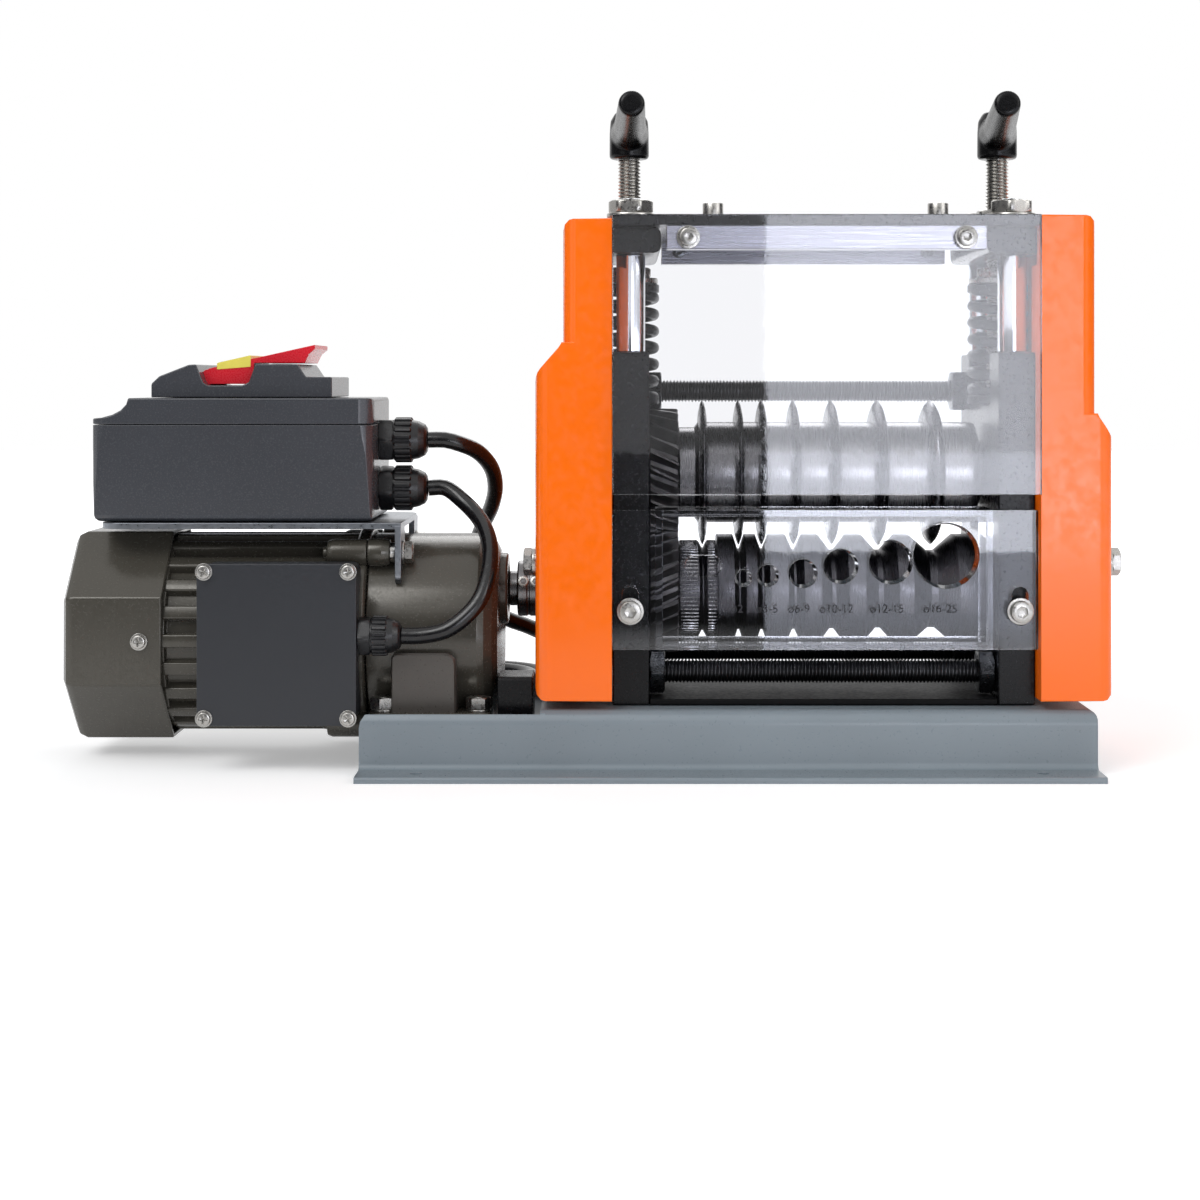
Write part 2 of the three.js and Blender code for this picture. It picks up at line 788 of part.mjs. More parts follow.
// Side cover: a sheet shell that steps out below, with lips that lie on the side plate.
function cover(side, sizes, opening) {
  const edge = cover_depth / 2;
  const upper_x = side_outer_x + sizes.upper_reach;
  const lower_x = side_outer_x + sizes.lower_reach;
  const outline = (inset) => [
    [cover_inner_x + inset, cover_bottom_z + inset, 0],
    [lower_x - inset, cover_bottom_z + inset, cover_edge_radius - inset],
    [lower_x - inset, sizes.step_bottom_z - inset / 2, cover_step_radius],
    [upper_x - inset, sizes.step_top_z - inset / 2, cover_step_radius],
    [upper_x - inset, sizes.top_z - inset, cover_edge_radius - inset],
    [cover_inner_x + inset, sizes.top_z - inset, 0],
  ];
  const plan = (inset, reach) => [
    [cover_inner_x + inset, -edge + inset, 0],
    [reach - inset, -edge + inset, cover_edge_radius - inset],
    [reach - inset, edge - inset, cover_edge_radius - inset],
    [cover_inner_x + inset, edge - inset, 0],
  ];
  const onSide = (corners) => (side > 0 ? corners : mirrored(corners));
  const split_z = (sizes.step_bottom_z + sizes.step_top_z) / 2;
  const form = (inset) => {
    const profile = prismY(onSide(outline(inset)), -edge, edge, 3);
    const lower = prismZ(onSide(plan(inset, lower_x)), 0, sizes.step_top_z, 3);
    const upper = prismZ(onSide(plan(inset, upper_x)), split_z, sizes.top_z, 3);
    return common(profile, join(lower, upper));
  };
  const between = (x0, x1, ...rest) => (side > 0 ? box(x0, x1, ...rest) : box(-x1, -x0, ...rest));
  const window_edge = edge - cover_lip_width;
  const bar_edge = side_depth / 2 + overrun;
  const window_x = cover_inner_x + cover_sheet + overrun;
  const bar_clear_z = top_bar_bottom_z - cover_window_margin;
  const window_bottom = cover_bottom_z + cover_window_margin;
  const window_from = cover_inner_x - overrun;
  const window_top = sizes.top_z - cover_sheet;
  let shell = cut(
    form(0),
    form(cover_sheet),
    between(window_from, window_x, -window_edge, window_edge, window_bottom, bar_clear_z),
    between(window_from, window_x, -bar_edge, bar_edge, bar_clear_z, window_top),
  );
  if (opening) {
    const hole = rodProfile(opening, -lower_x - overrun, -lower_x + cover_sheet + overrun);
    shell = cut(shell, turnX(hole, round_sides, 0, lower_axis_z));
  }
  const washer_end = lower_x + cover_bolt_washer_thickness;
  const head_end = washer_end + cover_bolt_height;
  const inside = lower_x - cover_sheet / 2;
  const span = (from, to) => (side > 0 ? [from, to] : [-to, -from]);
  const washer = turnX(
    rodProfile(cover_bolt_washer_radius, ...span(inside, washer_end)),
    small_sides,
    cover_bolt_y,
    cover_bolt_z,
  );
  const head = hexProfile(cover_bolt_flats, ...span(inside, head_end));
  return join(shell, washer, turnX(head, 6, cover_bolt_y, cover_bolt_z));
}

// Rolls

function turnedOnAxis(profile, sides, axis_z) {
  return turnX(profile, sides, 0, axis_z);
}

function upperShaft() {
  const end = side_outer_x + shaft_end_inset;
  const drum_end = side_inner_x - drum_end_gap;
  return turnedOnAxis(
    [
      [0, -end],
      [shaft_radius, -end],
      [shaft_radius, roll_left_x],
      [collar_radius, roll_left_x],
      [collar_radius, roll_left_x + collar_length],
      [drum_radius, roll_left_x + collar_length],
      [drum_radius, drum_end],
      [shaft_radius, drum_end],
      [shaft_radius, end],
      [0, end],
    ],
    fine_sides,
    upper_axis_z,
  );
}

// A blade is a ring with bulging flanks that meet in a sharp rim.
function blade(place, width) {
  const bore = drum_radius + seat_gap;
  const flank = blade_height_shares.map((height_share, i) => [
    bore + (blade_radius - bore) * height_share,
    (width / 2) * blade_bulge_shares[i],
  ]);
  const land = blade_edge_land / 2;
  const edge = [...flank, [blade_radius, land]];
  const right = edge.map(([r, a]) => [r, place + a]);
  const left = edge.map(([r, a]) => [r, place - a]).reverse();
  return turnedOnAxis([...right, ...left], fine_sides, upper_axis_z);
}

function lowerRoll() {
  const end = side_outer_x + shaft_end_inset;
  const coupled_end = coupling_left_x + coupling_hub_length + seat_gap;
  const knurl_end = blade_places[0] + groove_widths[0] / 2 + knurl_outer_width;
  const drum_end = side_inner_x - drum_end_gap;
  const profile = [
    [0, coupled_end],
    [coupling_shaft_radius, coupled_end],
    [coupling_shaft_radius, -end],
    [shaft_radius, -end],
    [shaft_radius, roll_left_x],
    [knurl_radius, roll_left_x],
  ];
  blade_places.forEach((place, i) => {
    const surface = i === 0 ? knurl_radius : lower_roll_radius;
    const half = groove_widths[i] / 2;
    const floor = surface - groove_depths[i];
    profile.push(
      [surface, place - half],
      [floor, place - half * groove_floor_share],
      [floor, place + half * groove_floor_share],
      [surface, place + half],
    );
    if (i === 0) profile.push([knurl_radius, knurl_end], [lower_roll_radius, knurl_end]);
  });
  profile.push([lower_roll_radius, drum_end], [shaft_radius, drum_end]);
  profile.push([shaft_radius, end], [0, end]);
  return turnedOnAxis(profile, fine_sides, lower_axis_z);
}

// Helical gear: one tooth outline repeated round the pitch circle and twisted along the shaft.
function gear(axis_z, first_angle, twist) {
  const pitch_radius = axis_distance / 2;
  const step = (2 * Math.PI) / gear_teeth;
  const root = [pitch_radius - gear_dedendum, (gear_root_share * step) / 2];
  const middle = [pitch_radius, (gear_pitch_share * step) / 2];
  const tip = [pitch_radius + gear_addendum, (gear_tip_share * step) / 2];
  const tooth = [root, middle, tip, [tip[0], -tip[1]], [middle[0], -middle[1]], [root[0], -root[1]]];
  const ring = [];
  for (let k = 0; k < gear_teeth; k++) {
    for (const [radius, lag] of tooth) ring.push([radius, first_angle + k * step - lag]);
  }
  const points = [];
  const faces = [];
  for (let slice = 0; slice <= gear_slices; slice++) {
    const share = slice / gear_slices;
    const turn = twist * (share - 1 / 2);
    for (const [radius, angle] of ring) {
      const y = radius * Math.cos(angle + turn);
      const z = radius * Math.sin(angle + turn);
      points.push(new THREE.Vector3(gear_left_x + gear_width * share, y, z + axis_z));
    }
  }
  const count = ring.length;
  const last = gear_slices * count;
  for (let a = 0; a < last; a++) {
    const b = a - (a % count) + ((a + 1) % count);
    faces.push(a, b, b + count, a, b + count, a + count);
  }
  const flat = ring.map(
    ([radius, angle]) => new THREE.Vector2(radius * Math.cos(angle), radius * Math.sin(angle)),
  );
  for (const [a, b, c] of THREE.ShapeUtils.triangulateShape(flat, [])) {
    faces.push(a, c, b, last + a, last + b, last + c);
  }
  const geometry = new THREE.BufferGeometry().setFromPoints(points);
  geometry.setIndex(faces);
  const blank = solidOf(geometry);
  const gear_right_x = gear_left_x + gear_width;
  const bore = rodProfile(shaft_radius + seat_gap, gear_left_x - overrun, gear_right_x + overrun);
  return cut(blank, turnX(bore, round_sides, 0, axis_z));
}

function coupling() {
  const hub = coupling_left_x + coupling_hub_length;
  const right = coupling_left_x + coupling_length;
  const bore = coupling_shaft_radius + seat_gap;
  return turnedOnAxis(
    [
      [0, coupling_left_x],
      [coupling_hub_radius, coupling_left_x],
      [coupling_hub_radius, hub - seat_gap],
      [coupling_radius, hub - seat_gap],
      [coupling_radius, right],
      [bore, right],
      [bore, hub],
      [0, hub],
    ],
    round_sides,
    lower_axis_z,
  );
}

// Carriage

function bearingBlock(side) {
  const half = slot_width / 2 - seat_gap;
  const bottom = upper_axis_z - block_below_axis;
  const x0 = side > 0 ? side_inner_x : -side_outer_x;
  const x1 = x0 + side_thickness;
  const block = prismX(
    [
      [-half, bottom, slot_floor_radius / 2],
      [half, bottom, slot_floor_radius / 2],
      [half, block_top_z, side_front_edge_radius],
      [-half, block_top_z, side_front_edge_radius],
    ],
    x0,
    x1,
  );
  const bore = rodProfile(shaft_radius + seat_gap, x0 - overrun, x1 + overrun);
  const foot_z = block_top_z - screw_foot_depth;
  const foot = rodProfile(screw_radius + seat_gap, foot_z, block_top_z + overrun);
  return cut(
    block,
    turnX(bore, round_sides, 0, upper_axis_z),
    turnZ(foot, small_sides, side * screw_place_x, 0),
  );
}

// Die spring of flat wire, wound as one unbroken tube.
function spring(side) {
  const radius = spring_outer_radius - spring_wire_width / 2;
  const low = block_top_z + seat_gap + spring_wire_height / 2;
  const high = spring_top_z - spring_wire_height / 2;
  const turns = (high - low) / spring_pitch;
  const steps = Math.round(turns * 8);
  const stations = [];
  for (let i = 0; i <= steps; i++) {
    const angle = (2 * Math.PI * turns * i) / steps;
    const outward = new THREE.Vector3(Math.cos(angle), Math.sin(angle), 0);
    const centre = outward.clone().multiplyScalar(radius);
    centre.add(new THREE.Vector3(side * screw_place_x, 0, low + ((high - low) * i) / steps));
    stations.push({ centre, outward, upward: new THREE.Vector3(0, 0, 1) });
  }
  const gap = leastDistance(stations, 6) - spring_wire_height;
  console.log("spring least gap to itself", gap.toFixed(2), "mm");
  const half_width = (spring_wire_width / 2) * wire_corner_share;
  const half_height = (spring_wire_height / 2) * wire_corner_share;
  return wound(stations, 5, half_width, half_height);
}

// Press screw with the washer and nut that load the spring.
function pressScrew(side) {
  const washer_z = spring_top_z + seat_gap;
  const nut_z = washer_z + washer_thickness;
  const x = side * screw_place_x;
  const foot_z = block_top_z - screw_foot_depth + seat_gap;
  const screw = turnZ(
    [
      [0, foot_z],
      [screw_radius, foot_z],
      [screw_radius, washer_z],
      [washer_radius, washer_z],
      [washer_radius, nut_z],
      [screw_radius, nut_z],
      [screw_radius, screw_head_z],
      [0, screw_head_z],
    ],
    small_sides,
    x,
    0,
  );
  const nut = hexProfile(press_nut_flats, nut_z - washer_thickness / 2, nut_z + press_nut_height);
  return join(screw, turnZ(nut, 6, x, 0));
}

// Clamping lever: a skirted hub with an arm that points at the feed side.
function handle(side) {
  const top = handle_bottom_z + handle_hub_height;
  const skirt = handle_bottom_z + handle_skirt_height;
  const crown = handle_hub_radius - handle_neck_radius;
  const x = side * screw_place_x;
  const hub = turnZ(
    [
      [0, handle_bottom_z],
      [handle_hub_radius, handle_bottom_z],
      [handle_hub_radius, skirt],
      [handle_neck_radius, skirt + crown],
      [handle_neck_radius, top - crown],
      [handle_neck_radius - crown, top + crown],
      [0, top + crown * handle_dome_share],
    ],
    round_sides,
    x,
    0,
  );
  const rounding = handle_arm_end_radius / 3;
  const arm = turned(
    [
      [0, 0],
      [handle_arm_root_radius, 0],
      [handle_arm_end_radius, handle_arm_length - rounding],
      [handle_arm_end_radius - rounding, handle_arm_length],
      [0, handle_arm_length],
    ],
    small_sides,
  );
  arm.rotateX(Math.PI - THREE.MathUtils.degToRad(handle_arm_rise_deg));
  arm.translate(x, 0, top - handle_arm_root_radius);
  const bore_end = handle_bottom_z + handle_bore_depth;
  const bore = rodProfile(screw_radius + seat_gap, handle_bottom_z - overrun, bore_end);
  return cut(join(hub, solidOf(arm)), turnZ(bore, small_sides, x, 0));
}

// Feed guide: a front plate with a hole for each wire size, and the open-backed box behind it.
function feedGuide() {
  const half = guide_width / 2;
  const back = guide_front_y + guide_thickness;
  const plate = box(-half, half, guide_front_y, back, guide_bottom_z, guide_top_z);
  const reach = guide_box_half_width;
  const chamber = cut(
    box(-reach, reach, back - overrun, back + guide_box_depth, guide_bottom_z, guide_top_z),
    box(
      -reach + guide_box_wall,
      reach - guide_box_wall,
      back - overrun * 2,
      back + guide_box_depth + overrun,
      guide_bottom_z + guide_box_wall,
      guide_top_z - guide_box_wall,
    ),
  );
  const from = guide_front_y - overrun;
  const to = back + overrun;
  const holes = guide_hole_places.map((x, i) => {
    const hole = rodProfile(guide_hole_diameters[i] / 2, from, to);
    return turnY(hole, round_sides, x, guide_top_z - guide_hole_drops[i]);
  });
  const rounded = (x, z0, z1, width) => {
    const r = (Math.min(width, z1 - z0) / 2) * rounding_share;
    const left = x - width / 2;
    const right = x + width / 2;
    const outline = [
      [left, z0, r],
      [right, z0, r],
      [right, z1, r],
      [left, z1, r],
    ];
    return prismY(outline, from, to);
  };
  const oblong_z = guide_top_z - guide_oblong_drop;
  const oblong = rounded(
    guide_oblong_x,
    oblong_z - guide_oblong_height / 2,
    oblong_z + guide_oblong_height / 2,
    guide_oblong_length,
  );
  const slots = [-1, 1].map((side) =>
    rounded(side * guide_slot_x, guide_slot_bottom_z, guide_slot_top_z, guide_slot_width),
  );
  return cut(join(plate, chamber), ...holes, oblong, ...slots);
}

// Motor and gearbox

function throughBolts(from, to) {
  const bolt = rodProfile(through_bolt_radius, from, to);
  const bolts = [];
  for (const side of [-1, 1]) {
    for (const rise of [-1, 1]) {
      const z = motor_axis_z + rise * through_bolt_rise;
      bolts.push(turnX(bolt, small_sides, side * through_bolt_y, z));
    }
  }
  return bolts;
}

function motorBody() {
  const step = (2 * Math.PI) / motor_fins;
  const corners = [];
  for (let k = 0; k < motor_fins; k++) {
    const half = (step * motor_fin_share) / 2;
    for (const [radius, lag] of [
      [motor_core_radius, -half],
      [motor_radius, -half],
      [motor_radius, half],
      [motor_core_radius, half],
    ]) {
      const angle = k * step + lag;
      corners.push([radius * Math.cos(angle), motor_axis_z + radius * Math.sin(angle), 0]);
    }
  }
  const overlap = motor_flange_thickness / 2;
  const body = prismX(corners, motor_left_x, motor_right_x + overlap);
  const flange_end = motor_right_x + motor_flange_thickness;
  const onAxis = (profile, sides) => turnX(profile, sides, 0, motor_axis_z);
  const flange = onAxis(rodProfile(motor_flange_radius, motor_right_x, flange_end), fine_sides);
  const spigot_radius = fan_cover_flats / 2 - fan_cover_wall - running_gap;
  const spigot_left = motor_left_x - motor_spigot_length;
  const spigot = onAxis(rodProfile(spigot_radius, spigot_left, motor_left_x + overlap), fine_sides);
  const bore_radius = rotor_shaft_radius + running_gap;
  const bore = rodProfile(bore_radius, spigot_left - overrun, spigot_left + motor_bore_depth);
  const bolts = throughBolts(through_bolt_left_x, flange_end);
  return cut(join(body, flange, spigot, ...bolts), onAxis(bore, round_sides));
}

// Eight-sided fan cover, open towards the motor, with a ring of slots in its end.
function fanCover() {
  const corner = fan_cover_flats / 2 / Math.cos(Math.PI / 8);
  const inner = corner - fan_cover_wall / Math.cos(Math.PI / 8);
  const left = fan_cover_left_x;
  const right = motor_left_x - seat_gap;
  const bend = fan_cover_end_radius;
  const shell = turnX(
    [
      [0, left],
      [corner - bend, left],
      [corner - bend / 3, left + bend / 3],
      [corner, left + bend],
      [corner, right],
      [inner, right],
      [inner, left + bend],
      [inner - bend / 2, left + fan_cover_wall],
      [0, left + fan_cover_wall],
    ],
    8,
    0,
    motor_axis_z,
    Math.PI / 8,
  );
  const flat = fan_cover_flats / 2;
  const vent_inner = flat * fan_vent_inner_share;
  const vent_outer = flat * fan_vent_outer_share;
  const vents = [];
  for (let k = 0; k < fan_vents; k++) {
    const vent = new THREE.BoxGeometry(
      fan_cover_wall + overrun * 2,
      vent_outer - vent_inner,
      fan_vent_width,
    );
    vent.translate(left + fan_cover_wall / 2, (vent_outer + vent_inner) / 2, 0);
    vent.rotateX((2 * Math.PI * k) / fan_vents).translate(0, 0, motor_axis_z);
    vents.push(solidOf(vent));
  }
  return cut(shell, ...vents);
}

function fanRotor() {
  const left = fan_cover_left_x + fan_cover_wall + fan_end_gap;
  const hub_end = left + fan_width;
  const shaft_end = motor_left_x - motor_spigot_length + motor_bore_depth - seat_gap;
  const hub = turnX(
    [
      [0, left],
      [fan_hub_radius, left],
      [fan_hub_radius, hub_end],
      [rotor_shaft_radius, hub_end],
      [rotor_shaft_radius, shaft_end],
      [0, shaft_end],
    ],
    round_sides,
    0,
    motor_axis_z,
  );
  const blades = [];
  for (let k = 0; k < fan_blades; k++) {
    const root = fan_hub_radius / 2;
    const vane = new THREE.BoxGeometry(fan_width, fan_radius - root, fan_blade_thickness);
    vane.translate(left + fan_width / 2, (fan_radius + root) / 2, 0);
    vane.rotateX((2 * Math.PI * k) / fan_blades).translate(0, 0, motor_axis_z);
    blades.push(solidOf(vane));
  }
  return join(hub, ...blades);
}

function gearbox() {
  const floor_z = base_lower_deck_z + seat_gap;
  const nose = gearbox_right_x - gearbox_nose_length;
  const radius = gearbox_radius;
  const body = turnX(
    [
      [0, gearbox_left_x],
      [radius, gearbox_left_x],
      [radius, nose],
      [radius - (radius - gearbox_nose_radius) / 4, nose + gearbox_nose_length / 2],
      [gearbox_nose_radius, gearbox_right_x],
      [0, gearbox_right_x],
    ],
    fine_sides,
    0,
    motor_axis_z,
  );
  const boss_end = gearbox_right_x + gearbox_boss_length;
  const boss = turnX(rodProfile(gearbox_boss_radius, nose, boss_end), round_sides, 0, lower_axis_z);
  const foot_edge = gearbox_foot_width / 2;
  const foot = box(
    gearbox_left_x + gearbox_foot_inset,
    gearbox_right_x - gearbox_foot_inset,
    -foot_edge,
    foot_edge,
    floor_z,
    gearbox_foot_top_z,
  );
  const ear = common(
    prismY(
      [
        [foot_block.left_x, floor_z, 0],
        [foot_block.right_x, floor_z, 0],
        [foot_block.right_x, foot_block.top_z, foot_block_radius],
        [foot_block.left_x, foot_block.top_z, foot_block_radius / 2],
      ],
      foot_block.front_y,
      0,
    ),
    prismZ(
      [
        [foot_block.left_x, 0, 0],
        [foot_block.left_x, foot_block.front_y, foot_block_radius / 2],
        [foot_block.right_x, foot_block.front_y, foot_block_radius / 2],
        [foot_block.right_x, 0, 0],
      ].reverse(),
      floor_z,
      foot_block.top_z,
    ),
  );
  const whole = join(body, boss, foot, ear, ...throughBolts(gearbox_left_x, through_bolt_right_x));
  const from = gearbox_left_x - overrun;
  const to = gearbox_right_x + overrun;
  return cut(whole, box(from, to, -radius * 2, radius * 2, -radius, floor_z));
}

// Plain block on the lower deck between the gearbox and the left cover.
function deckBlock() {
  const bottom = base_lower_deck_z + seat_gap;
  const outline = [
    [deck_block.front_y, bottom, 0],
    [deck_block.rear_y, bottom, 0],
    [deck_block.rear_y, deck_block.top_z, deck_block_radius],
    [deck_block.front_y, deck_block.top_z, deck_block_radius],
  ];
  return prismX(outline, deck_block.left_x, deck_block.right_x, 2);
}

// Terminal box on the front of the motor, with its lid, cut to sit on the ribs and the flange.
function terminalBox() {
  const r = terminal_corner_radius;
  const frame = (inset) => [
    [terminal_left_x + inset, terminal_bottom_z + inset, r],
    [terminal_right_x - inset, terminal_bottom_z + inset, r],
    [terminal_right_x - inset, terminal_top_z - inset, r],
    [terminal_left_x + inset, terminal_top_z - inset, r],
  ];
  const lid_y = terminal_front_y + terminal_lid_thickness;
  const body = prismY(frame(terminal_lid_overhang), lid_y - terminal_lid_overhang, terminal_back_y);
  const lid = prismY(frame(0), terminal_front_y, lid_y);
  return cut(join(body, lid), motorSeat());
}

// The radius of a faceted bore that clears a round form by the seat gap.
const clearOf = (radius) => radius / Math.cos(Math.PI / fine_sides) + seat_gap;

function motorSeat() {
  const left = turnX(
    rodProfile(clearOf(motor_radius), motor_left_x, motor_right_x + overrun),
    fine_sides,
    0,
    motor_axis_z,
  );
  const flange_end = motor_right_x + motor_flange_thickness + seat_gap;
  const right = turnX(
    rodProfile(clearOf(motor_flange_radius), motor_right_x - seat_gap, flange_end),
    fine_sides,
    0,
    motor_axis_z,
  );
  return join(left, right);
}

// Switch box

// Bracket plate under the switch box, with a leg bolted to each upper through bolt.
function switchBracket() {
  const bottom = bracket_top_z - bracket_sheet;
  const r = bracket_corner_radius;
  const plate = prismZ(
    [
      [bracket_left_x, bracket_front_y, r],
      [bracket_right_x, bracket_front_y, 0],
      [bracket_right_x, bracket_rear_y, r],
      [bracket_left_x, bracket_rear_y, r],
    ],
    bottom,
    bracket_top_z,
  );
  const leg_half = bracket_leg_width / 2;
  const legs = [-1, 1].map((side) => {
    const y = side * through_bolt_y;
    const outline = [
      [y - leg_half, bracket_leg_bottom_z, leg_half / 2],
      [y + leg_half, bracket_leg_bottom_z, leg_half / 2],
      [y + leg_half, bracket_top_z - bracket_sheet / 2, 0],
      [y - leg_half, bracket_top_z - bracket_sheet / 2, 0],
    ];
    return prismX(outline, bracket_right_x - bracket_sheet, bracket_right_x);
  });
  const clear_from = bracket_right_x - overrun * 2;
  const clear = rodProfile(gearbox_radius + running_gap * 2, clear_from, bracket_right_x + overrun);
  return cut(join(plate, ...legs), turnX(clear, fine_sides, 0, motor_axis_z));
}

function boxPlan() {
  const r = box_corner_radius;
  return prismZ(
    [
      [box_left_x, box_front_y, r],
      [box_right_x, box_front_y, r],
      [box_right_x, box_rear_y, r],
      [box_left_x, box_rear_y, r],
    ],
    box_bottom_z,
    lid_top_z,
    3,
  );
}

function switchBox() {
  const r = box_corner_radius;
  const side_view = prismY(
    [
      [box_left_x + box_foot_taper / 2, box_bottom_z, r / 2],
      [box_right_x, box_bottom_z, r / 2],
      [box_right_x, box_top_z, 0],
      [box_left_x, box_top_z, 0],
    ],
    box_front_y,
    box_rear_y,
    3,
  );
  const end_view = prismX(
    [
      [box_front_y + box_foot_taper, box_bottom_z, r / 2],
      [box_rear_y - box_foot_taper, box_bottom_z, r / 2],
      [box_rear_y, box_top_z, 0],
      [box_front_y, box_top_z, 0],
    ],
    box_left_x,
    box_right_x,
    3,
  );
  return common(side_view, end_view, boxPlan());
}

// The lid steps down in a hollow curve at its left end.
function switchLid() {
  const steps = 5;
  const corners = [
    [box_right_x, lid_bottom_z, 0],
    [box_right_x, lid_top_z, box_corner_radius / 4],
  ];
  const drop = lid_height - lid_step_height;
  for (let k = 0; k <= steps; k++) {
    const angle = (Math.PI / 2) * (k / steps);
    corners.push([
      box_left_x + lid_step_length * Math.cos(angle),
      lid_top_z - drop * Math.sin(angle),
      0,
    ]);
  }
  corners.push([box_left_x, lid_bottom_z, 0]);
  return common(prismY(corners, box_front_y, box_rear_y, 3), boxPlan());
}

// Switch base with two cheeks; the flap hinges in the recess between them.
function switchBase() {
  const b = switch_bottom_z;
  const recess_z = b + switch_recess_height;
  const base = prismY(
    [
      [switch_left_x, b, 0],
      [switch_right_x, b, 0],
      [switch_right_x, b + switch_step_height, 0],
      [switch_step_x, b + switch_step_height, 0],
      [switch_step_x - flap_sheet, switch_top_z, 0],
      [switch_recess_right_x, switch_top_z, 0],
      [switch_recess_right_x, recess_z, 0],
      [switch_recess_left_x, recess_z, 0],
      [switch_recess_left_x, switch_top_z, 0],
      [switch_slope_x, switch_top_z, 0],
      [switch_left_x, b + switch_shoulder_height, 0],
    ],
    -switch_half_depth,
    switch_half_depth,
  );
  const holes = [-1, 1].map((side) => {
    const from = switch_top_z + button_proud - button_height - button_travel - seat_gap;
    return turnZ(
      rodProfile(button_radius + seat_gap, from, switch_top_z + overrun),
      small_sides,
      button_x,
      side * button_place_y,
    );
  });
  return cut(base, ...holes);
}

function switchButton(side) {
  const top = switch_top_z + button_proud;
  const button = rodProfile(button_radius, top - button_height, top);
  return turnZ(button, small_sides, button_x, side * button_place_y);
}

// Flip cover over the buttons, with its hinge barrel in the recess.
function switchFlap() {
  const low = flap_hinge_z - flap_hinge_radius + seat_gap;
  const rest_z = switch_top_z + seat_gap * 2;
  const right = switch_recess_right_x - seat_gap * 1.5;
  const slope = (x) =>
    switch_top_z + (flap_lift * (x - flap_hinge_x)) / (flap_right_x - flap_hinge_x);
  const y = flap_half_depth;
  const skirt_x = switch_step_x + flap_sheet;
  const body = prismY(
    [
      [flap_hinge_x, low, 0],
      [right, low, 0],
      [right, rest_z, 0],
      [skirt_x, rest_z, 0],
      [skirt_x + flap_sheet, (rest_z + slope(flap_right_x)) / 2, 0],
      [flap_right_x, slope(flap_right_x) - flap_sheet, 0],
      [flap_right_x, slope(flap_right_x), 0],
      [flap_hinge_x, slope(flap_hinge_x) - flap_sheet, 0],
    ],
    -y,
    y,
  );
  const left = right + flap_sheet;
  const hollow = prismY(
    [
      [left, rest_z - overrun, 0],
      [skirt_x - flap_sheet, rest_z - overrun, 0],
      [skirt_x - flap_sheet, slope(skirt_x - flap_sheet) - flap_sheet, 0],
      [left, slope(left) - flap_sheet, 0],
    ],
    -y + flap_sheet,
    y - flap_sheet,
  );
  const barrel = turnY(rodProfile(flap_hinge_radius, -y, y), round_sides, flap_hinge_x, flap_hinge_z);
  return join(cut(body, hollow), barrel);
}

// Cable gland: a hexagon against the housing, a ribbed nut and a rounded nose.
function gland(x, y, z, size = 1) {
  const radius = gland_radius * size;
  const flange_end = x + gland_flange_length * size;
  const nut_end = flange_end + (gland_nut_length * size) / 2;
  const end = flange_end + gland_nut_length * size;
  const hexagon = hexProfile(radius * Math.sqrt(3), x, flange_end + overrun / 2);
  const flange = turnX(hexagon, 6, y, z, Math.PI / 6);
  const corners = [];
  for (let k = 0; k < gland_ribs * 2; k++) {
    const angle = (Math.PI * k) / gland_ribs;
    const r = radius - (k % 2) * gland_rib_depth - gland_rib_depth / 2;
    corners.push([y + r * Math.cos(angle), z + r * Math.sin(angle), 0]);
  }
  const nose = gland_nose_radius * size;
  const dome = turnX(
    [
      [0, nut_end - overrun],
      [radius - gland_rib_depth * 2, nut_end - overrun],
      [radius - gland_rib_depth * 2, nut_end],
      [nose + (radius - nose) / 2, end - (end - nut_end) / 3],
      [nose, end],
      [0, end],
    ],
    round_sides,
    y,
    z,
  );
  return { solid: join(flange, prismX(corners, flange_end, nut_end), dome), end };
}

// Put-away coil of the mains cord: it spirals in on the bench and out again a layer higher.
function coilStations() {
  const pitch = 2 * cable_radius + coil_turn_gap;
  const outer = coil_middle_radius + (pitch * coil_turns) / 2;
  const low = cable_radius + seat_gap;
  const stations = [];
  const upward = new THREE.Vector3(0, 0, 1);
  const straight = 2 * cable_radius;
  const push = (u, along) => {
    const angle = 2 * Math.PI * u;
    const radius = outer - pitch * (coil_turns - Math.abs(u - coil_turns));
    const climb = THREE.MathUtils.clamp((u - coil_turns) * 2 + 0.5, 0, 1);
    const outward = new THREE.Vector3(Math.cos(angle), Math.sin(angle), 0);
    const centre = outward.clone().multiplyScalar(radius);
    centre.add(new THREE.Vector3(coil_centre_x, coil_centre_y + along, low + pitch * climb));
    stations.push({ centre, outward, upward });
  };
  push(0, -straight);
  const loops = 2 * coil_turns;
  for (let i = 0; i <= loops * 24; i++) push(i / 24, 0);
  push(loops, coil_tail_length);
  return stations;
}

// Moulded mains plug, lying in line with the end of the coil.
function mainsPlug(x, y, z) {
  const neck_end = y + plug_neck_length;
  const end = neck_end + plug_length;
  const body = turnY(
    [
      [0, y],
      [cable_radius * plug_neck_shares[0], y],
      [cable_radius * plug_neck_shares[1], neck_end],
      [plug_radius * plug_shoulder_share, neck_end + plug_neck_length / 2],
      [plug_radius, neck_end + plug_neck_length],
      [plug_radius, end],
      [0, end],
    ],
    round_sides,
    x,
    z,
  );
  const pins = [-1, 1].map((side) => {
    const pin = rodProfile(plug_pin_radius, end - overrun, end + plug_pin_length);
    return turnY(pin, small_sides, x + (side * plug_pin_spacing * pin_inset_share) / 2, z);
  });
  return join(body, ...pins);
}

// Assembly

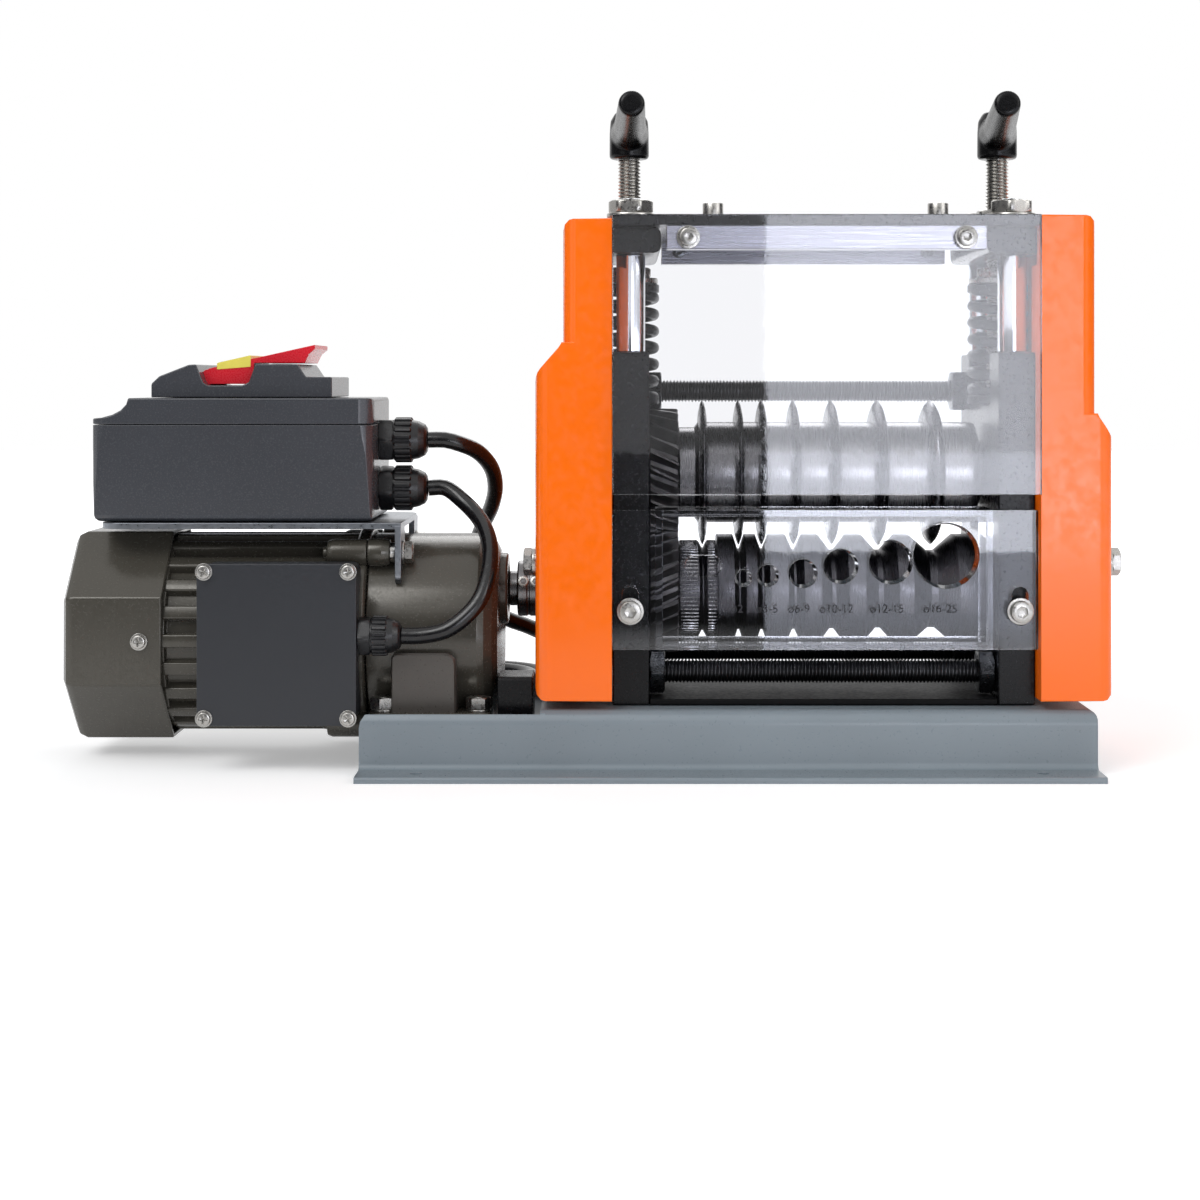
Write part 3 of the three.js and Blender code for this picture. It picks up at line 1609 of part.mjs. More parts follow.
add("base_pan", basePan(), finishes.base());
add(
  "frame_floor_plate",
  box(
    -side_inner_x + seat_gap,
    side_inner_x - seat_gap,
    -side_depth / 2,
    side_depth / 2,
    frame_foot_z,
    frame_foot_z + floor_plate_thickness,
  ),
  finishes.black(),
);
for (const [side, label] of [
  [-1, "left"],
  [1, "right"],
]) {
  add("side_plate_" + label, sidePlate(side), finishes.black());
  add("top_bar_" + label, topBar(side), finishes.black());
  add("guide_rod_front_" + label, guideRod(side * rod_place_x, -rod_place_y), finishes.chrome());
  add("guide_rod_rear_" + label, guideRod(side * rod_place_x, rod_place_y), finishes.chrome());
  add("bearing_block_" + label, bearingBlock(side), finishes.black());
  add("spring_" + label, spring(side), finishes.black());
  add("press_screw_" + label, pressScrew(side), finishes.steel());
  add("handle_" + label, handle(side), finishes.plastic());
}
add("cover_left", cover(-1, left_cover, coupling_radius + coupling_hole_gap), finishes.orange());
add("cover_right", cover(1, right_cover, 0), finishes.orange());
add("tie_rod_lower_front", tieRod(-tie_lower_y, tie_lower_z), finishes.steel());
add("tie_rod_lower_rear", tieRod(tie_lower_y, tie_lower_z), finishes.steel());
add("tie_rod_upper_rear", tieRod(tie_upper_y, tie_upper_z), finishes.steel());
add("top_plate", topPlate(), finishes.black());
add("guard_bar_front", guardBar(-1), finishes.aluminium());
add("guard_bar_rear", guardBar(1), finishes.aluminium());
add("upper_guard", upperGuard(), finishes.acrylic());
add("feed_guide", feedGuide(), finishes.acrylic());

add("upper_shaft", upperShaft(), finishes.steel());
blade_places.forEach((place, i) => {
  add("blade_" + (i + 1), blade(place, blade_widths[i]), finishes.steel());
});
add("lower_roll", lowerRoll(), finishes.steel());
const tooth_step = (2 * Math.PI) / gear_teeth;
const twist = THREE.MathUtils.degToRad(gear_twist_deg);
add("gear_upper", gear(upper_axis_z, -Math.PI / 2, twist), finishes.steel());
add("gear_lower", gear(lower_axis_z, Math.PI / 2 + tooth_step / 2, -twist), finishes.steel());
add("coupling", coupling(), finishes.steel());

add("gearbox", gearbox(), finishes.motor());
add("deck_block", deckBlock(), finishes.black());
add("motor_body", motorBody(), finishes.motor());
add("fan_cover", fanCover(), finishes.motor());
add("fan_rotor", fanRotor(), finishes.plastic());
add("terminal_box", terminalBox(), finishes.motor());
add("switch_bracket", switchBracket(), finishes.base());
add("switch_box", switchBox(), finishes.plastic());
add("switch_lid", switchLid(), finishes.plastic());
add("switch_base", switchBase(), finishes.plastic());
add("switch_flap", switchFlap(), finishes.red());
add("button_start", switchButton(1), finishes.green());
add("button_stop", switchButton(-1), finishes.red());

const mains_gland = gland(box_right_x + seat_gap, gland_y, mains_gland_z);
const lead_gland = gland(box_right_x + seat_gap, gland_y, lead_gland_z);
const terminal_gland = gland(
  terminal_right_x + seat_gap,
  terminal_gland_y,
  terminal_gland_z,
  terminal_gland_share,
);
add("gland_mains", mains_gland.solid, finishes.plastic());
add("gland_lead_box", lead_gland.solid, finishes.plastic());
add("gland_lead_motor", cut(terminal_gland.solid, motorSeat()), finishes.plastic());

// The motor lead leaves the lower gland of the switch box and bends down to the terminal box.
const lead_start = lead_gland.end + seat_gap;
const lead_end = terminal_gland.end + seat_gap;
const straight = 2 * cable_radius;
const motor_lead = tubeThrough(
  [
    [lead_start, gland_y, lead_gland_z],
    [lead_start + straight, gland_y, lead_gland_z],
    [-152, -11, 109],
    [-144.5, -18, 102],
    [-140, -27, 95],
    [-138.2, -35, 87.5],
    [-139, -42, 78.5],
    [-142.2, -47.5, 69.5],
    [-148.4, -50, 62.5],
    [-156, terminal_gland_y, 57.5],
    [lead_end + straight, terminal_gland_y, terminal_gland_z],
    [lead_end, terminal_gland_y, terminal_gland_z],
  ],
  cable_radius,
  8,
  24,
);
add("motor_lead", motor_lead.solid, finishes.rubber());

// The mains cord leaves the upper gland, passes behind the gearbox and drops to the bench.
const coil = coilStations();
const coil_start = coil[0].centre;
const coil_end = coil[coil.length - 1].centre;
const cord_start = mains_gland.end + seat_gap;
const mains_cord = tubeThrough(
  [
    [cord_start, gland_y, mains_gland_z],
    [cord_start + straight, gland_y, mains_gland_z],
    [-153, -7, 133],
    [-146, -1, 129.5],
    [-140.6, 8, 122.4],
    [-139.2, 17, 113.5],
    [-141.5, 27, 104],
    [-146, 37, 95],
    [-150, 46, 84],
    [-151, 52, 72],
    [-147, 55, 60],
    [-138, 58, 51.5],
    [-126, 64, 46],
    [-114, 75, 38.5],
    [-106, 89, 27],
    [-103.5, 104, 15],
    [-105.5, 118, 7],
    [coil_start.x, coil_start.y - straight - seat_gap, coil_start.z],
    [coil_start.x, coil_start.y - seat_gap, coil_start.z],
  ],
  cable_radius,
  8,
  34,
);
add("mains_cord", mains_cord.solid, finishes.rubber());
add("mains_coil", wound(coil, 6, cable_radius, cable_radius), finishes.rubber());
const coil_gap = leastDistance(coil, 8) - 2 * cable_radius;
console.log("coil least gap to itself", coil_gap.toFixed(2), "mm");
const plug = mainsPlug(coil_end.x, coil_end.y + seat_gap, plug_radius + seat_gap);
add("mains_plug", plug, finishes.plastic());
const coil_length = coil
  .slice(1)
  .reduce((sum, { centre }, i) => sum + centre.distanceTo(coil[i].centre), 0);
console.log("motor lead length", motor_lead.length.toFixed(0), "mm");
console.log("mains cord length", (mains_cord.length + coil_length).toFixed(0), "mm");

export default machine;
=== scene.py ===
# %% [markdown]
# # A wire stripping machine, dressed for a picture
# The CAD model is loaded as a fixed frame. What it has right gets small bevels and a material; what is
# faceted there, such as rolls, gears, threads, springs and cables, is made again with finer steps.

# %% Load the frame
import math

import bmesh
import bpy
from mathutils import Matrix, Vector


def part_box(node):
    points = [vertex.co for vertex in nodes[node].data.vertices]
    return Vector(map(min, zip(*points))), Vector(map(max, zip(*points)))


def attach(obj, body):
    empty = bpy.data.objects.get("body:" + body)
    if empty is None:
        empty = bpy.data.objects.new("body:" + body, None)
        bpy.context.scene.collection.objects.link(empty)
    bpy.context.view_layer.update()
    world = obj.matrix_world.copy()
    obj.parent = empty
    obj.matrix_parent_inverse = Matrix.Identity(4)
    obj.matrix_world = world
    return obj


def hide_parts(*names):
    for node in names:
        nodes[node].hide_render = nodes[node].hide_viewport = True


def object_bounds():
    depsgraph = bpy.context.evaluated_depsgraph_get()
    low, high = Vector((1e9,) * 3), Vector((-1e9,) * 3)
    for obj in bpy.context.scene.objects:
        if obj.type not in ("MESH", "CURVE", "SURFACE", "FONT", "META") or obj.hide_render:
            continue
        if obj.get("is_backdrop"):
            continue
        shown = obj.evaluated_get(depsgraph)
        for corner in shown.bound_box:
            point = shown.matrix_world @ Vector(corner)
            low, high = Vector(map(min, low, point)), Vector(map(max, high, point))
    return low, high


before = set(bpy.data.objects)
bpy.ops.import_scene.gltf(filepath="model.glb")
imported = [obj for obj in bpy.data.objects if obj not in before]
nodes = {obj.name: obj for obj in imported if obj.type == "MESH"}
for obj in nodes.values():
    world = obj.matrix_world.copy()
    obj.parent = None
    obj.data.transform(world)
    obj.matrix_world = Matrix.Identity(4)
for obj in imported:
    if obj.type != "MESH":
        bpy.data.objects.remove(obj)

scene = bpy.context.scene
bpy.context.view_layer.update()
MM = 0.001
MIDDLE_X = 96.75
SIDES = ((-1, "left"), (1, "right"))

# %% [markdown]
# Sizes below are the machine's own, in millimetres, with X = 0 midway between the side plates and Y = 0
# in the plane of the rolls. One function turns them into places in the frame, in metres.


# %% Places and objects
def at(x, y, z):
    return Vector(((x + MIDDLE_X) * MM, y * MM, z * MM))


def add_object(name, data):
    made = bpy.data.objects.new(name, data)
    scene.collection.objects.link(made)
    return made


# %% [markdown]
# ## The camera
# The photograph was taken from about a metre. The camera is level and its lens is shifted, so that the
# upright edges stay upright. The lens and its shift were worked out from edges whose sizes are known.

# %% Camera
PHOTO_SIDE = 1200
lens = bpy.data.cameras.new("camera")
lens.lens = 65.52
lens.sensor_width = 36
lens.shift_x = -20 / PHOTO_SIDE
lens.shift_y = -220 / PHOTO_SIDE
lens.clip_start = 0.05
lens.clip_end = 20
camera = add_object("camera", lens)
camera.location = at(-84, -950, 160.6)
camera.rotation_euler = (math.pi / 2, 0, 0)
scene.camera = camera
scene.view_settings.view_transform = "Standard"
print("the camera stands at", [round(v, 3) for v in camera.location])

# %% [markdown]
# ## Shapes from profiles
# Nearly every part of this machine was turned, folded or moulded, so four tools make most of it: a ring
# of points set along an axis, a hexagon with turned corners, a folded outline pushed along an axis, and
# a round tube along a path.


# %% A place round an axis
def spot(axis, centre, u, v, s):
    a, b = centre
    if axis == "X":
        return at(s, a + u, b + v)
    if axis == "Y":
        return at(a + u, s, b + v)
    return at(a + u, b + v, s)


# %% Rings along an axis
def rings(bm, axis, centre, stations, sides=64, material=0, angles=None, closed=False):
    """Faces between rings of points. A station is (radius, place along the axis, turn); the radius
    may be a function of the angle, and a radius of 0 closes the end."""
    turns = angles or [2 * math.pi * i / sides for i in range(sides)]
    rows = []
    for radius, place, *turn in stations:
        extra = turn[0] if turn else 0
        if radius == 0:
            rows.append([bm.verts.new(spot(axis, centre, 0, 0, place))])
            continue
        row = []
        for angle in turns:
            r = radius(angle) if callable(radius) else radius
            a = angle + extra
            row.append(bm.verts.new(spot(axis, centre, r * math.cos(a), r * math.sin(a), place)))
        rows.append(row)
    pairs = list(zip(rows, rows[1:]))
    if closed:
        pairs.append((rows[-1], rows[0]))
    made = []
    n = len(turns)
    for low, high in pairs:
        for i in range(n):
            j = (i + 1) % n
            if len(low) == 1 and len(high) == 1:
                continue
            if len(low) == 1:
                corners = [low[0], high[i], high[j]]
            elif len(high) == 1:
                corners = [low[i], high[0], low[j]]
            else:
                corners = [low[i], low[j], high[j], high[i]]
            made.append(bm.faces.new(corners))
    for face in made:
        face.material_index = material


# %% Rounded corners
def rounded(points, radius, steps=3, closed=False):
    """The same outline with its corners rounded. A point may carry a radius of its own."""
    found = []
    count = len(points)
    for i, (x, y, *own) in enumerate(points):
        size = own[0] if own else radius
        ends = not closed and i in (0, count - 1)
        here = Vector((x, y))
        if ends or size <= 0:
            found.append((x, y))
            continue
        before = Vector(points[i - 1][:2]) - here
        after = Vector(points[(i + 1) % count][:2]) - here
        if before.length < 1e-9 or after.length < 1e-9:
            continue
        reach = min(before.length, after.length) * 0.45
        a, b = before.normalized(), after.normalized()
        half = math.acos(max(-1, min(1, a.dot(b)))) / 2
        if half > 1.55 or half < 0.02:
            found.append((x, y))
            continue
        cut = min(size / math.tan(half), reach)
        for k in range(steps + 1):
            t = k / steps
            p = here + a * cut * (1 - t) ** 2 + b * cut * t**2
            found.append((p.x, p.y))
    return found


def turned(bm, axis, centre, profile, radius=0.4, sides=96, material=0):
    """A turned part: profile is (radius, place) pairs from one end on the axis to the other."""
    rings(bm, axis, centre, rounded(profile, radius), sides, material)


# %% Hexagons, sockets and crosses
def hexagon(flats, turn=0.0):
    def radius(angle):
        a = (angle - turn) % (math.pi / 3) - math.pi / 6
        return flats / 2 / math.cos(a)

    return radius


def within(radius, limit):
    return lambda angle: min(radius(angle), limit)


def cross(length, width):
    def radius(angle):
        c, s = abs(math.cos(angle)) + 1e-9, abs(math.sin(angle)) + 1e-9
        return max(min(length / c, width / s), min(length / s, width / c))

    return radius


# %% [markdown]
# A nut's corners are turned off at both ends, and a screw's head has a socket or a cross sunk in it.
# Both are stacks of rings whose radius changes with the angle.


# %% Nuts and heads
def nut(bm, axis, centre, flats, low, high, hole=0.0, material=0, turn=0.0):
    """A hexagon whose corners are turned off at both ends, round a threaded hole."""
    shape = hexagon(flats, turn)
    corner = flats / 2 / math.cos(math.pi / 6)
    face = flats / 2 * 0.97
    edge = min((corner - flats / 2) * 0.6, (high - low) * 0.2)
    steps = 3
    ends = []
    for k in range(steps + 1):
        t = k / steps
        ends.append((within(shape, face + (corner - face) * t), edge * t))
    stations = [(hole, low)] + [(r, low + s) for r, s in ends]
    stations += [(r, high - s) for r, s in reversed(ends)] + [(hole, high)]
    rings(bm, axis, centre, stations, 48, material, closed=bool(hole))


def head(bm, axis, centre, base, top, radius, recess, depth, material=0, edge=0.5):
    """A screw head with a recess: a socket or a cross, given as a radius by angle."""
    up = 1 if top > base else -1
    stations = [
        (radius * 0.6, base),
        (radius, base),
        (radius, top - up * edge),
        (radius - edge * 0.35, top - up * edge * 0.3),
        (radius - edge, top),
        (lambda a: recess(a) * 1.06, top),
        (recess, top - up * edge * 0.4),
        (recess, top - up * depth),
        (0, top - up * (depth + 0.4)),
    ]
    rings(bm, axis, centre, stations, 72, material)


# %% [markdown]
# Folded and moulded parts are an outline pushed along an axis. Its ends can be drawn in a little, which
# leaves a bevel.


# %% Outlines pushed along an axis
def stacked(bm, rows, material):
    """Rings of points closed into one skin: a cap at both ends and walls between."""
    made = [bm.faces.new(rows[0]), bm.faces.new(list(reversed(rows[-1])))]
    n = len(rows[0])
    for a, b in zip(rows, rows[1:]):
        for i in range(n):
            j = (i + 1) % n
            made.append(bm.faces.new([a[i], b[i], b[j], a[j]]))
    for face in made:
        face.material_index = material


def pushed(bm, axis, outline, low, high, material=0, edge=0.0):
    """A flat outline, in the other two coordinates in order, pushed from low to high."""

    def point(u, v, s):
        return {"X": at(s, u, v), "Y": at(u, s, v), "Z": at(u, v, s)}[axis]

    middle = Vector((sum(p[0] for p in outline), sum(p[1] for p in outline))) / len(outline)

    def row(place, inset):
        found = []
        for u, v in outline:
            out = Vector((u, v)) - middle
            p = middle + out * (1 - inset / max(out.length, 1e-6))
            found.append(bm.verts.new(point(p.x, p.y, place)))
        return found

    if edge:
        rows = [row(low, edge), row(low + edge, 0), row(high - edge, 0), row(high, edge)]
    else:
        rows = [row(low, 0), row(high, 0)]
    stacked(bm, rows, material)


# %% [markdown]
# Cords follow a smooth curve through chosen points. The curve is cut into short steps, and a ring of
# points is carried along it.


# %% Paths and tubes
def between(a, b, ta, tb, t):
    return a * ((tb - t) / (tb - ta)) + b * ((t - ta) / (tb - ta))


def smooth_path(points, step):
    """A centripetal Catmull-Rom curve through the points, in steps of about that many millimetres."""
    p = [Vector(q) for q in points]
    p = [p[0] * 2 - p[1]] + p + [p[-1] * 2 - p[-2]]
    found = []
    for i in range(1, len(p) - 2):
        a, b, c, d = p[i - 1 : i + 3]
        t0 = 0.0
        t1 = t0 + max((b - a).length, 1e-6) ** 0.5
        t2 = t1 + max((c - b).length, 1e-6) ** 0.5
        t3 = t2 + max((d - c).length, 1e-6) ** 0.5
        count = max(2, round((c - b).length / step))
        for k in range(count):
            t = t1 + (t2 - t1) * k / count
            ab = between(a, b, t0, t1, t)
            bc = between(b, c, t1, t2, t)
            cd = between(c, d, t2, t3, t)
            found.append(between(between(ab, bc, t0, t2, t), between(bc, cd, t1, t3, t), t1, t2, t))
    found.append(p[-2])
    return found


# %% A tube along a path
def tube(bm, path, radius):
    """A closed round tube. The frame along the path is carried on without twist."""
    sides = 20
    rows = []
    side = path[1] - path[0]
    side = side.normalized().orthogonal().normalized()
    for i, here in enumerate(path):
        along = (path[min(i + 1, len(path) - 1)] - path[max(i - 1, 0)]).normalized()
        side = (side - along * side.dot(along)).normalized()
        up = along.cross(side)
        row = []
        for k in range(sides):
            a = 2 * math.pi * k / sides
            p = here + (side * math.cos(a) + up * math.sin(a)) * radius
            row.append(bm.verts.new(at(*p)))
        rows.append(row)
    stacked(bm, rows, 0)


# %% [markdown]
# What is made in these ways becomes a piece: a mesh with its materials, smooth but for its sharp edges,
# that rides on one body of the model and stands for the CAD nodes that it replaces.


# %% Finished pieces
def mesh_of(bm, name):
    """The mesh of what was being made, which is then let go."""
    mesh = bpy.data.meshes.new(name)
    bm.to_mesh(mesh)
    bm.free()
    return mesh


def piece(name, bm, body, materials, slot, *stands_for, angle=38):
    """The mesh as a named piece that rides on its body and stands for the CAD nodes it replaces."""
    bmesh.ops.recalc_face_normals(bm, faces=bm.faces)
    mesh = mesh_of(bm, name)
    for material in materials if isinstance(materials, list) else [materials]:
        mesh.materials.append(material)
    mesh.shade_smooth()
    mesh.set_sharp_from_angle(angle=math.radians(angle))
    made = add_object(name, mesh)
    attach(made, body)
    if stands_for:
        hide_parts(*stands_for)
    print(f"{name}: {len(mesh.polygons)} faces, on {body}")
    return made


# %% [markdown]
# ## The cords
# The mains cord is a plain 7 mm sheath: it leaves the upper gland, bends down behind the gearbox and is
# put away in a neat coil behind the machine, with its plug in line. The lead to the motor is shorter
# than an arm and is held at both ends by its glands. Both follow the routes of the CAD solids.

# %% The mains cord's route
CABLE_RADIUS = 3.5
cord_route = [
    (-166.5, -8, 134.8),
    (-159.5, -8, 134.8),
    (-153, -7, 133),
    (-146, -1, 129.5),
    (-140.6, 8, 122.4),
    (-139.2, 17, 113.5),
    (-141.5, 27, 104),
    (-146, 37, 95),
    (-150, 46, 84),
    (-151, 52, 72),
    (-147, 55, 60),
    (-138, 58, 51.5),
    (-126, 64, 46),
    (-114, 75, 38.5),
    (-106, 89, 27),
    (-103.5, 104, 15),
    (-105.5, 118, 7),
]

# %% [markdown]
# The rest of the cord lies in a coil of two layers. It winds inwards on the bench, climbs one layer and
# winds outwards again on top.

# %% Its coil
coil_centre = (-160, 145)
coil_turns = 5
coil_steps = 24
coil_pitch = 7.7
coil_outer = 47.625
coil_low = 3.8
coil_route = []
for i in range(coil_turns * coil_steps + 1):
    u = i / coil_steps
    past_half = u - coil_turns / 2
    radius = coil_outer - coil_pitch * (coil_turns / 2 - abs(past_half))
    climb = max(0, min(1, past_half * 2 + 0.5))
    turn = 2 * math.pi * u
    x = coil_centre[0] + radius * math.cos(turn)
    y = coil_centre[1] + radius * math.sin(turn)
    coil_route.append((x, y, coil_low + coil_pitch * climb))
coil_start = coil_route[0]
coil_end = coil_route[-1]
joins_coil = (coil_start[0], coil_start[1] - 7.3, coil_low)
joins_plug = (coil_end[0], coil_end[1] + 16, coil_end[2])
cord_path = smooth_path(cord_route + [joins_coil] + coil_route + [joins_plug], 3.2)

# %% The motor lead's route
lead_path = smooth_path(
    [
        (-166.5, -8, 114.1),
        (-159.5, -8, 114.1),
        (-152, -11, 109),
        (-144.5, -18, 102),
        (-140, -27, 95),
        (-138.2, -35, 87.5),
        (-139, -42, 78.5),
        (-142.2, -47.5, 69.5),
        (-148.4, -50, 62.5),
        (-156, -51.2, 57.5),
        (-166.66, -51.2, 55.4),
        (-173.66, -51.2, 55.4),
    ],
    2.5,
)

# %% [markdown]
# ## Materials
# Each finish is one shader with its own small life: the colour drifts a little, the gloss varies where
# hands and tools have been, and a fine bump gives paint its peel, metal its grain and plastic its
# spark-eroded skin. All of it is drawn in the object's own space, so it stays put in every view.


# %% A small kit for node trees
def feed(tree, node, inputs):
    """Each input is given a value, or the output of another node."""
    for socket, value in inputs.items():
        if isinstance(value, bpy.types.NodeSocket):
            tree.links.new(value, node.inputs[socket])
        else:
            node.inputs[socket].default_value = value


def add_node(tree, kind, inputs=None, **settings):
    node = tree.nodes.new(kind)
    for word, value in settings.items():
        setattr(node, word, value)
    feed(tree, node, inputs or {})
    return node


def math_node(tree, operation, *values):
    return add_node(tree, "ShaderNodeMath", dict(enumerate(values)), operation=operation).outputs[0]


def ranged(tree, value, before, after):
    """A value moved from one range to another and held at its ends."""
    ends = zip(("From Min", "From Max", "To Min", "To Max"), before + after)
    return add_node(tree, "ShaderNodeMapRange", {"Value": value, **dict(ends)}).outputs["Result"]


def ramp(tree, value, *stops):
    """A colour between two; each stop is (position, colour)."""
    node = add_node(tree, "ShaderNodeValToRGB", {"Fac": value})
    for element, (position, colour) in zip(node.color_ramp.elements, stops):
        element.position = position
        element.color = colour
    return node.outputs["Color"]


def new_material(name):
    material = bpy.data.materials.new(name)
    material.use_nodes = True
    tree = material.node_tree
    return material, tree, tree.nodes["Principled BSDF"]


# %% Colours
def linear(r, g, b):
    def one(v):
        v = v / 255
        return v / 12.92 if v <= 0.04045 else ((v + 0.055) / 1.055) ** 2.4

    return (one(r), one(g), one(b), 1)


def scaled(colour, factor):
    return tuple(min(1, c * factor) for c in colour[:3]) + (1,)


# %% The general finish
def finish(
    name,
    colour,
    rough=0.4,
    metal=0.0,
    drift=0.06,
    patch=18,
    grain=900,
    stretch=(1, 1, 1),
    bump=0.05,
    spread=0.08,
    coat=0.0,
    level=0.5,
):
    """A finish: colour drift in large patches, gloss drift in small ones, and a fine bump."""
    material, tree, shader = new_material(name)
    place = add_node(tree, "ShaderNodeTexCoord").outputs["Object"]
    large = add_node(tree, "ShaderNodeTexNoise", {"Vector": place, "Scale": patch, "Detail": 4})
    grained = add_node(tree, "ShaderNodeMapping", {"Vector": place, "Scale": stretch}).outputs["Vector"]
    fine = add_node(tree, "ShaderNodeTexNoise", {"Vector": grained, "Scale": grain, "Detail": 3})
    stops = ((0.3, scaled(colour, 1 - drift)), (0.7, scaled(colour, 1 + drift)))
    gloss = (max(0.02, rough - spread), rough + spread)
    height = {"Height": fine.outputs["Fac"], "Strength": bump, "Distance": 0.0004}
    look = {
        "Base Color": ramp(tree, large.outputs["Fac"], *stops),
        "Roughness": ranged(tree, fine.outputs["Fac"], (0.3, 0.7), gloss),
        "Normal": add_node(tree, "ShaderNodeBump", height).outputs["Normal"],
        "Metallic": metal,
        "Specular IOR Level": level,
        "Coat Weight": coat,
        "Coat Roughness": 0.08,
    }
    feed(tree, shader, look)
    return material


# %% [markdown]
# After the colour come roughness and metal, and then whatever sets a finish apart, such as brushing,
# which is a grain stretched along one axis.

# %% Paints
# The floor plate is black paint made darker and less glossy than the other black: partly its own black,
# partly painted shade, so it stays dark under the rolls.
floor_black = finish("floor_black", linear(7, 7, 8), 0.5, grain=700, bump=0.01, level=0.12)
grey = finish("blue_grey_paint", linear(122, 132, 139), 0.34, grain=900, bump=0.02, coat=0.1)
black = finish("black_paint", linear(11, 11, 13), 0.24, grain=700, drift=0.25, bump=0.02, level=0.2)
orange = finish("orange_paint", linear(255, 110, 8), 0.18, drift=0.02, grain=300, bump=0.004, level=0.45)
bronze = finish("bronze_grey_paint", linear(74, 71, 64), 0.22, 0.2, grain=900, bump=0.006)
lid_paint = finish("terminal_paint", linear(40, 42, 47), 0.36, grain=900, bump=0.03)
foot_paint = finish("foot_paint", linear(84, 80, 76), 0.34, 0.3, grain=900, bump=0.03)

# %% Metals
chrome = finish("chrome", linear(222, 224, 228), 0.09, 1, 0.03, grain=900, stretch=(1, 1, 0.03), bump=0.005)
zinc = finish("zinc_screws", linear(176, 174, 170), 0.3, 1, 0.08, grain=800, bump=0.02)
zinc_sheet = finish("zinc_sheet", linear(138, 142, 148), 0.34, 1, 0.05, 30, 700, bump=0.004)
steel_x = finish("turned_steel", linear(118, 117, 118), 0.28, 1, 0.12, 30, 4000, (1, 0.06, 0.06), 0.02, 0.06)
roll_steel = finish("dark_steel", linear(86, 85, 88), 0.3, 1, 0.15, 26, 4000, (1, 0.06, 0.06), 0.02, 0.06)
blade_steel = finish("blade_steel", linear(92, 91, 94), 0.26, 1, 0.3, 40, 1800, (1, 0.2, 0.2), 0.02)
knurl_steel = finish("knurl_steel", linear(150, 149, 150), 0.25, 1, 0.15, 60, 1500, bump=0.03)
dark_nut = finish("dark_nut", linear(96, 98, 102), 0.3, 1, 0.2, 60, 900, bump=0.03)
gear_steel = finish("gear_steel", linear(92, 90, 90), 0.36, 0.9, 0.35, 60, 1500, bump=0.08)
dark_thread = finish("dark_thread", linear(78, 78, 80), 0.34, 1, 0.25, 60, 1500, bump=0.05)
aluminium = finish(
    "brushed_aluminium", linear(140, 140, 148), 0.3, 1, 0.06, 12, 1600, (0.02, 1, 1), 0.1, 0.1
)

# %% Mouldings, rubber and marks
spring_paint = finish("spring_paint", linear(24, 24, 26), 0.32, drift=0.2, bump=0.05)
moulded = finish("black_moulding", linear(64, 66, 71), 0.24, drift=0.05, grain=1500, bump=0.006)
lever_black = finish("lever_moulding", linear(12, 12, 14), 0.26, drift=0.15, grain=1500, bump=0.01, level=0.2)
gland_black = finish("gland_moulding", linear(20, 20, 23), 0.34, drift=0.15, grain=1500, bump=0.03)
rubber = finish("cable_sheath", linear(16, 16, 18), 0.22, drift=0.12, grain=500, bump=0.01)
red = finish("red_moulding", linear(214, 26, 44), 0.28, drift=0.03, grain=1500, bump=0.01)
yellow = finish("yellow_insert", linear(236, 222, 96), 0.34, grain=1800, bump=0.03)
green = finish("green_moulding", linear(24, 132, 62), 0.32, grain=1800, bump=0.03)
mark = finish("engraved_mark", linear(16, 16, 24), 0.5, grain=1500)
print(len(bpy.data.materials), "finishes")

# %% [markdown]
# ### Clear sheet
# The guards are 3 to 6 mm acrylic. Light is let through to the rolls behind by a transparent shader for
# the lamps' own rays, because glass would otherwise cast the black shadow of a solid.


# %% Acrylic
def either(tree, share, no, yes):
    """One of two shaders, by a share from 0 to 1."""
    return add_node(tree, "ShaderNodeMixShader", {"Fac": share, 1: no, 2: yes}).outputs["Shader"]


def clear_sheet(name, tint, rough):
    material, tree, glass = new_material(name)
    place = add_node(tree, "ShaderNodeTexCoord").outputs["Object"]
    noise = {"Vector": place, "Scale": 240, "Detail": 5}
    wear = add_node(tree, "ShaderNodeTexNoise", noise).outputs["Fac"]
    height = {"Height": wear, "Strength": 0.02, "Distance": 0.0003}
    look = {
        "Base Color": tint,
        "Transmission Weight": 1,
        "IOR": 1.49,
        "Roughness": ranged(tree, wear, (0.45, 0.8), (rough, rough + 0.03)),
        "Normal": add_node(tree, "ShaderNodeBump", height).outputs["Normal"],
    }
    feed(tree, glass, look)
    open_air = add_node(tree, "ShaderNodeBsdfTransparent", {"Color": tint}).outputs["BSDF"]
    shadow = add_node(tree, "ShaderNodeLightPath").outputs["Is Shadow Ray"]
    surface = either(tree, shadow, glass.outputs["BSDF"], open_air)
    feed(tree, tree.nodes["Material Output"], {"Surface": surface})
    return material


acrylic = clear_sheet("acrylic", (0.93, 0.94, 0.975, 1), 0.004)
guard_acrylic = clear_sheet("guard_acrylic", (0.95, 0.955, 0.985, 1), 0.004)

# %% [markdown]
# ## What repeats is grown by Geometry Nodes
# Threads and springs are a profile swept along a spiral, fins and gland ribs are one copy set round an
# axis, and screws are one head set on points. Each tree's result is turned into a plain mesh, so that
# one mesh rides on one body.


# %% Growing a mesh from a tree
FLOAT = "NodeSocketFloat"
OBJECT = "NodeSocketObject"


def new_tree(name, inputs):
    """Inputs are (label, kind, value); every tree also has the material that it dresses its mesh in."""
    tree = bpy.data.node_groups.new(name, "GeometryNodeTree")
    for label, kind, value in inputs + [("Finish", "NodeSocketMaterial", None)]:
        socket = tree.interface.new_socket(label, in_out="INPUT", socket_type=kind)
        if value is not None:
            socket.default_value = value
    tree.interface.new_socket("Geometry", in_out="OUTPUT", socket_type="NodeSocketGeometry")
    return tree, tree.nodes.new("NodeGroupInput").outputs


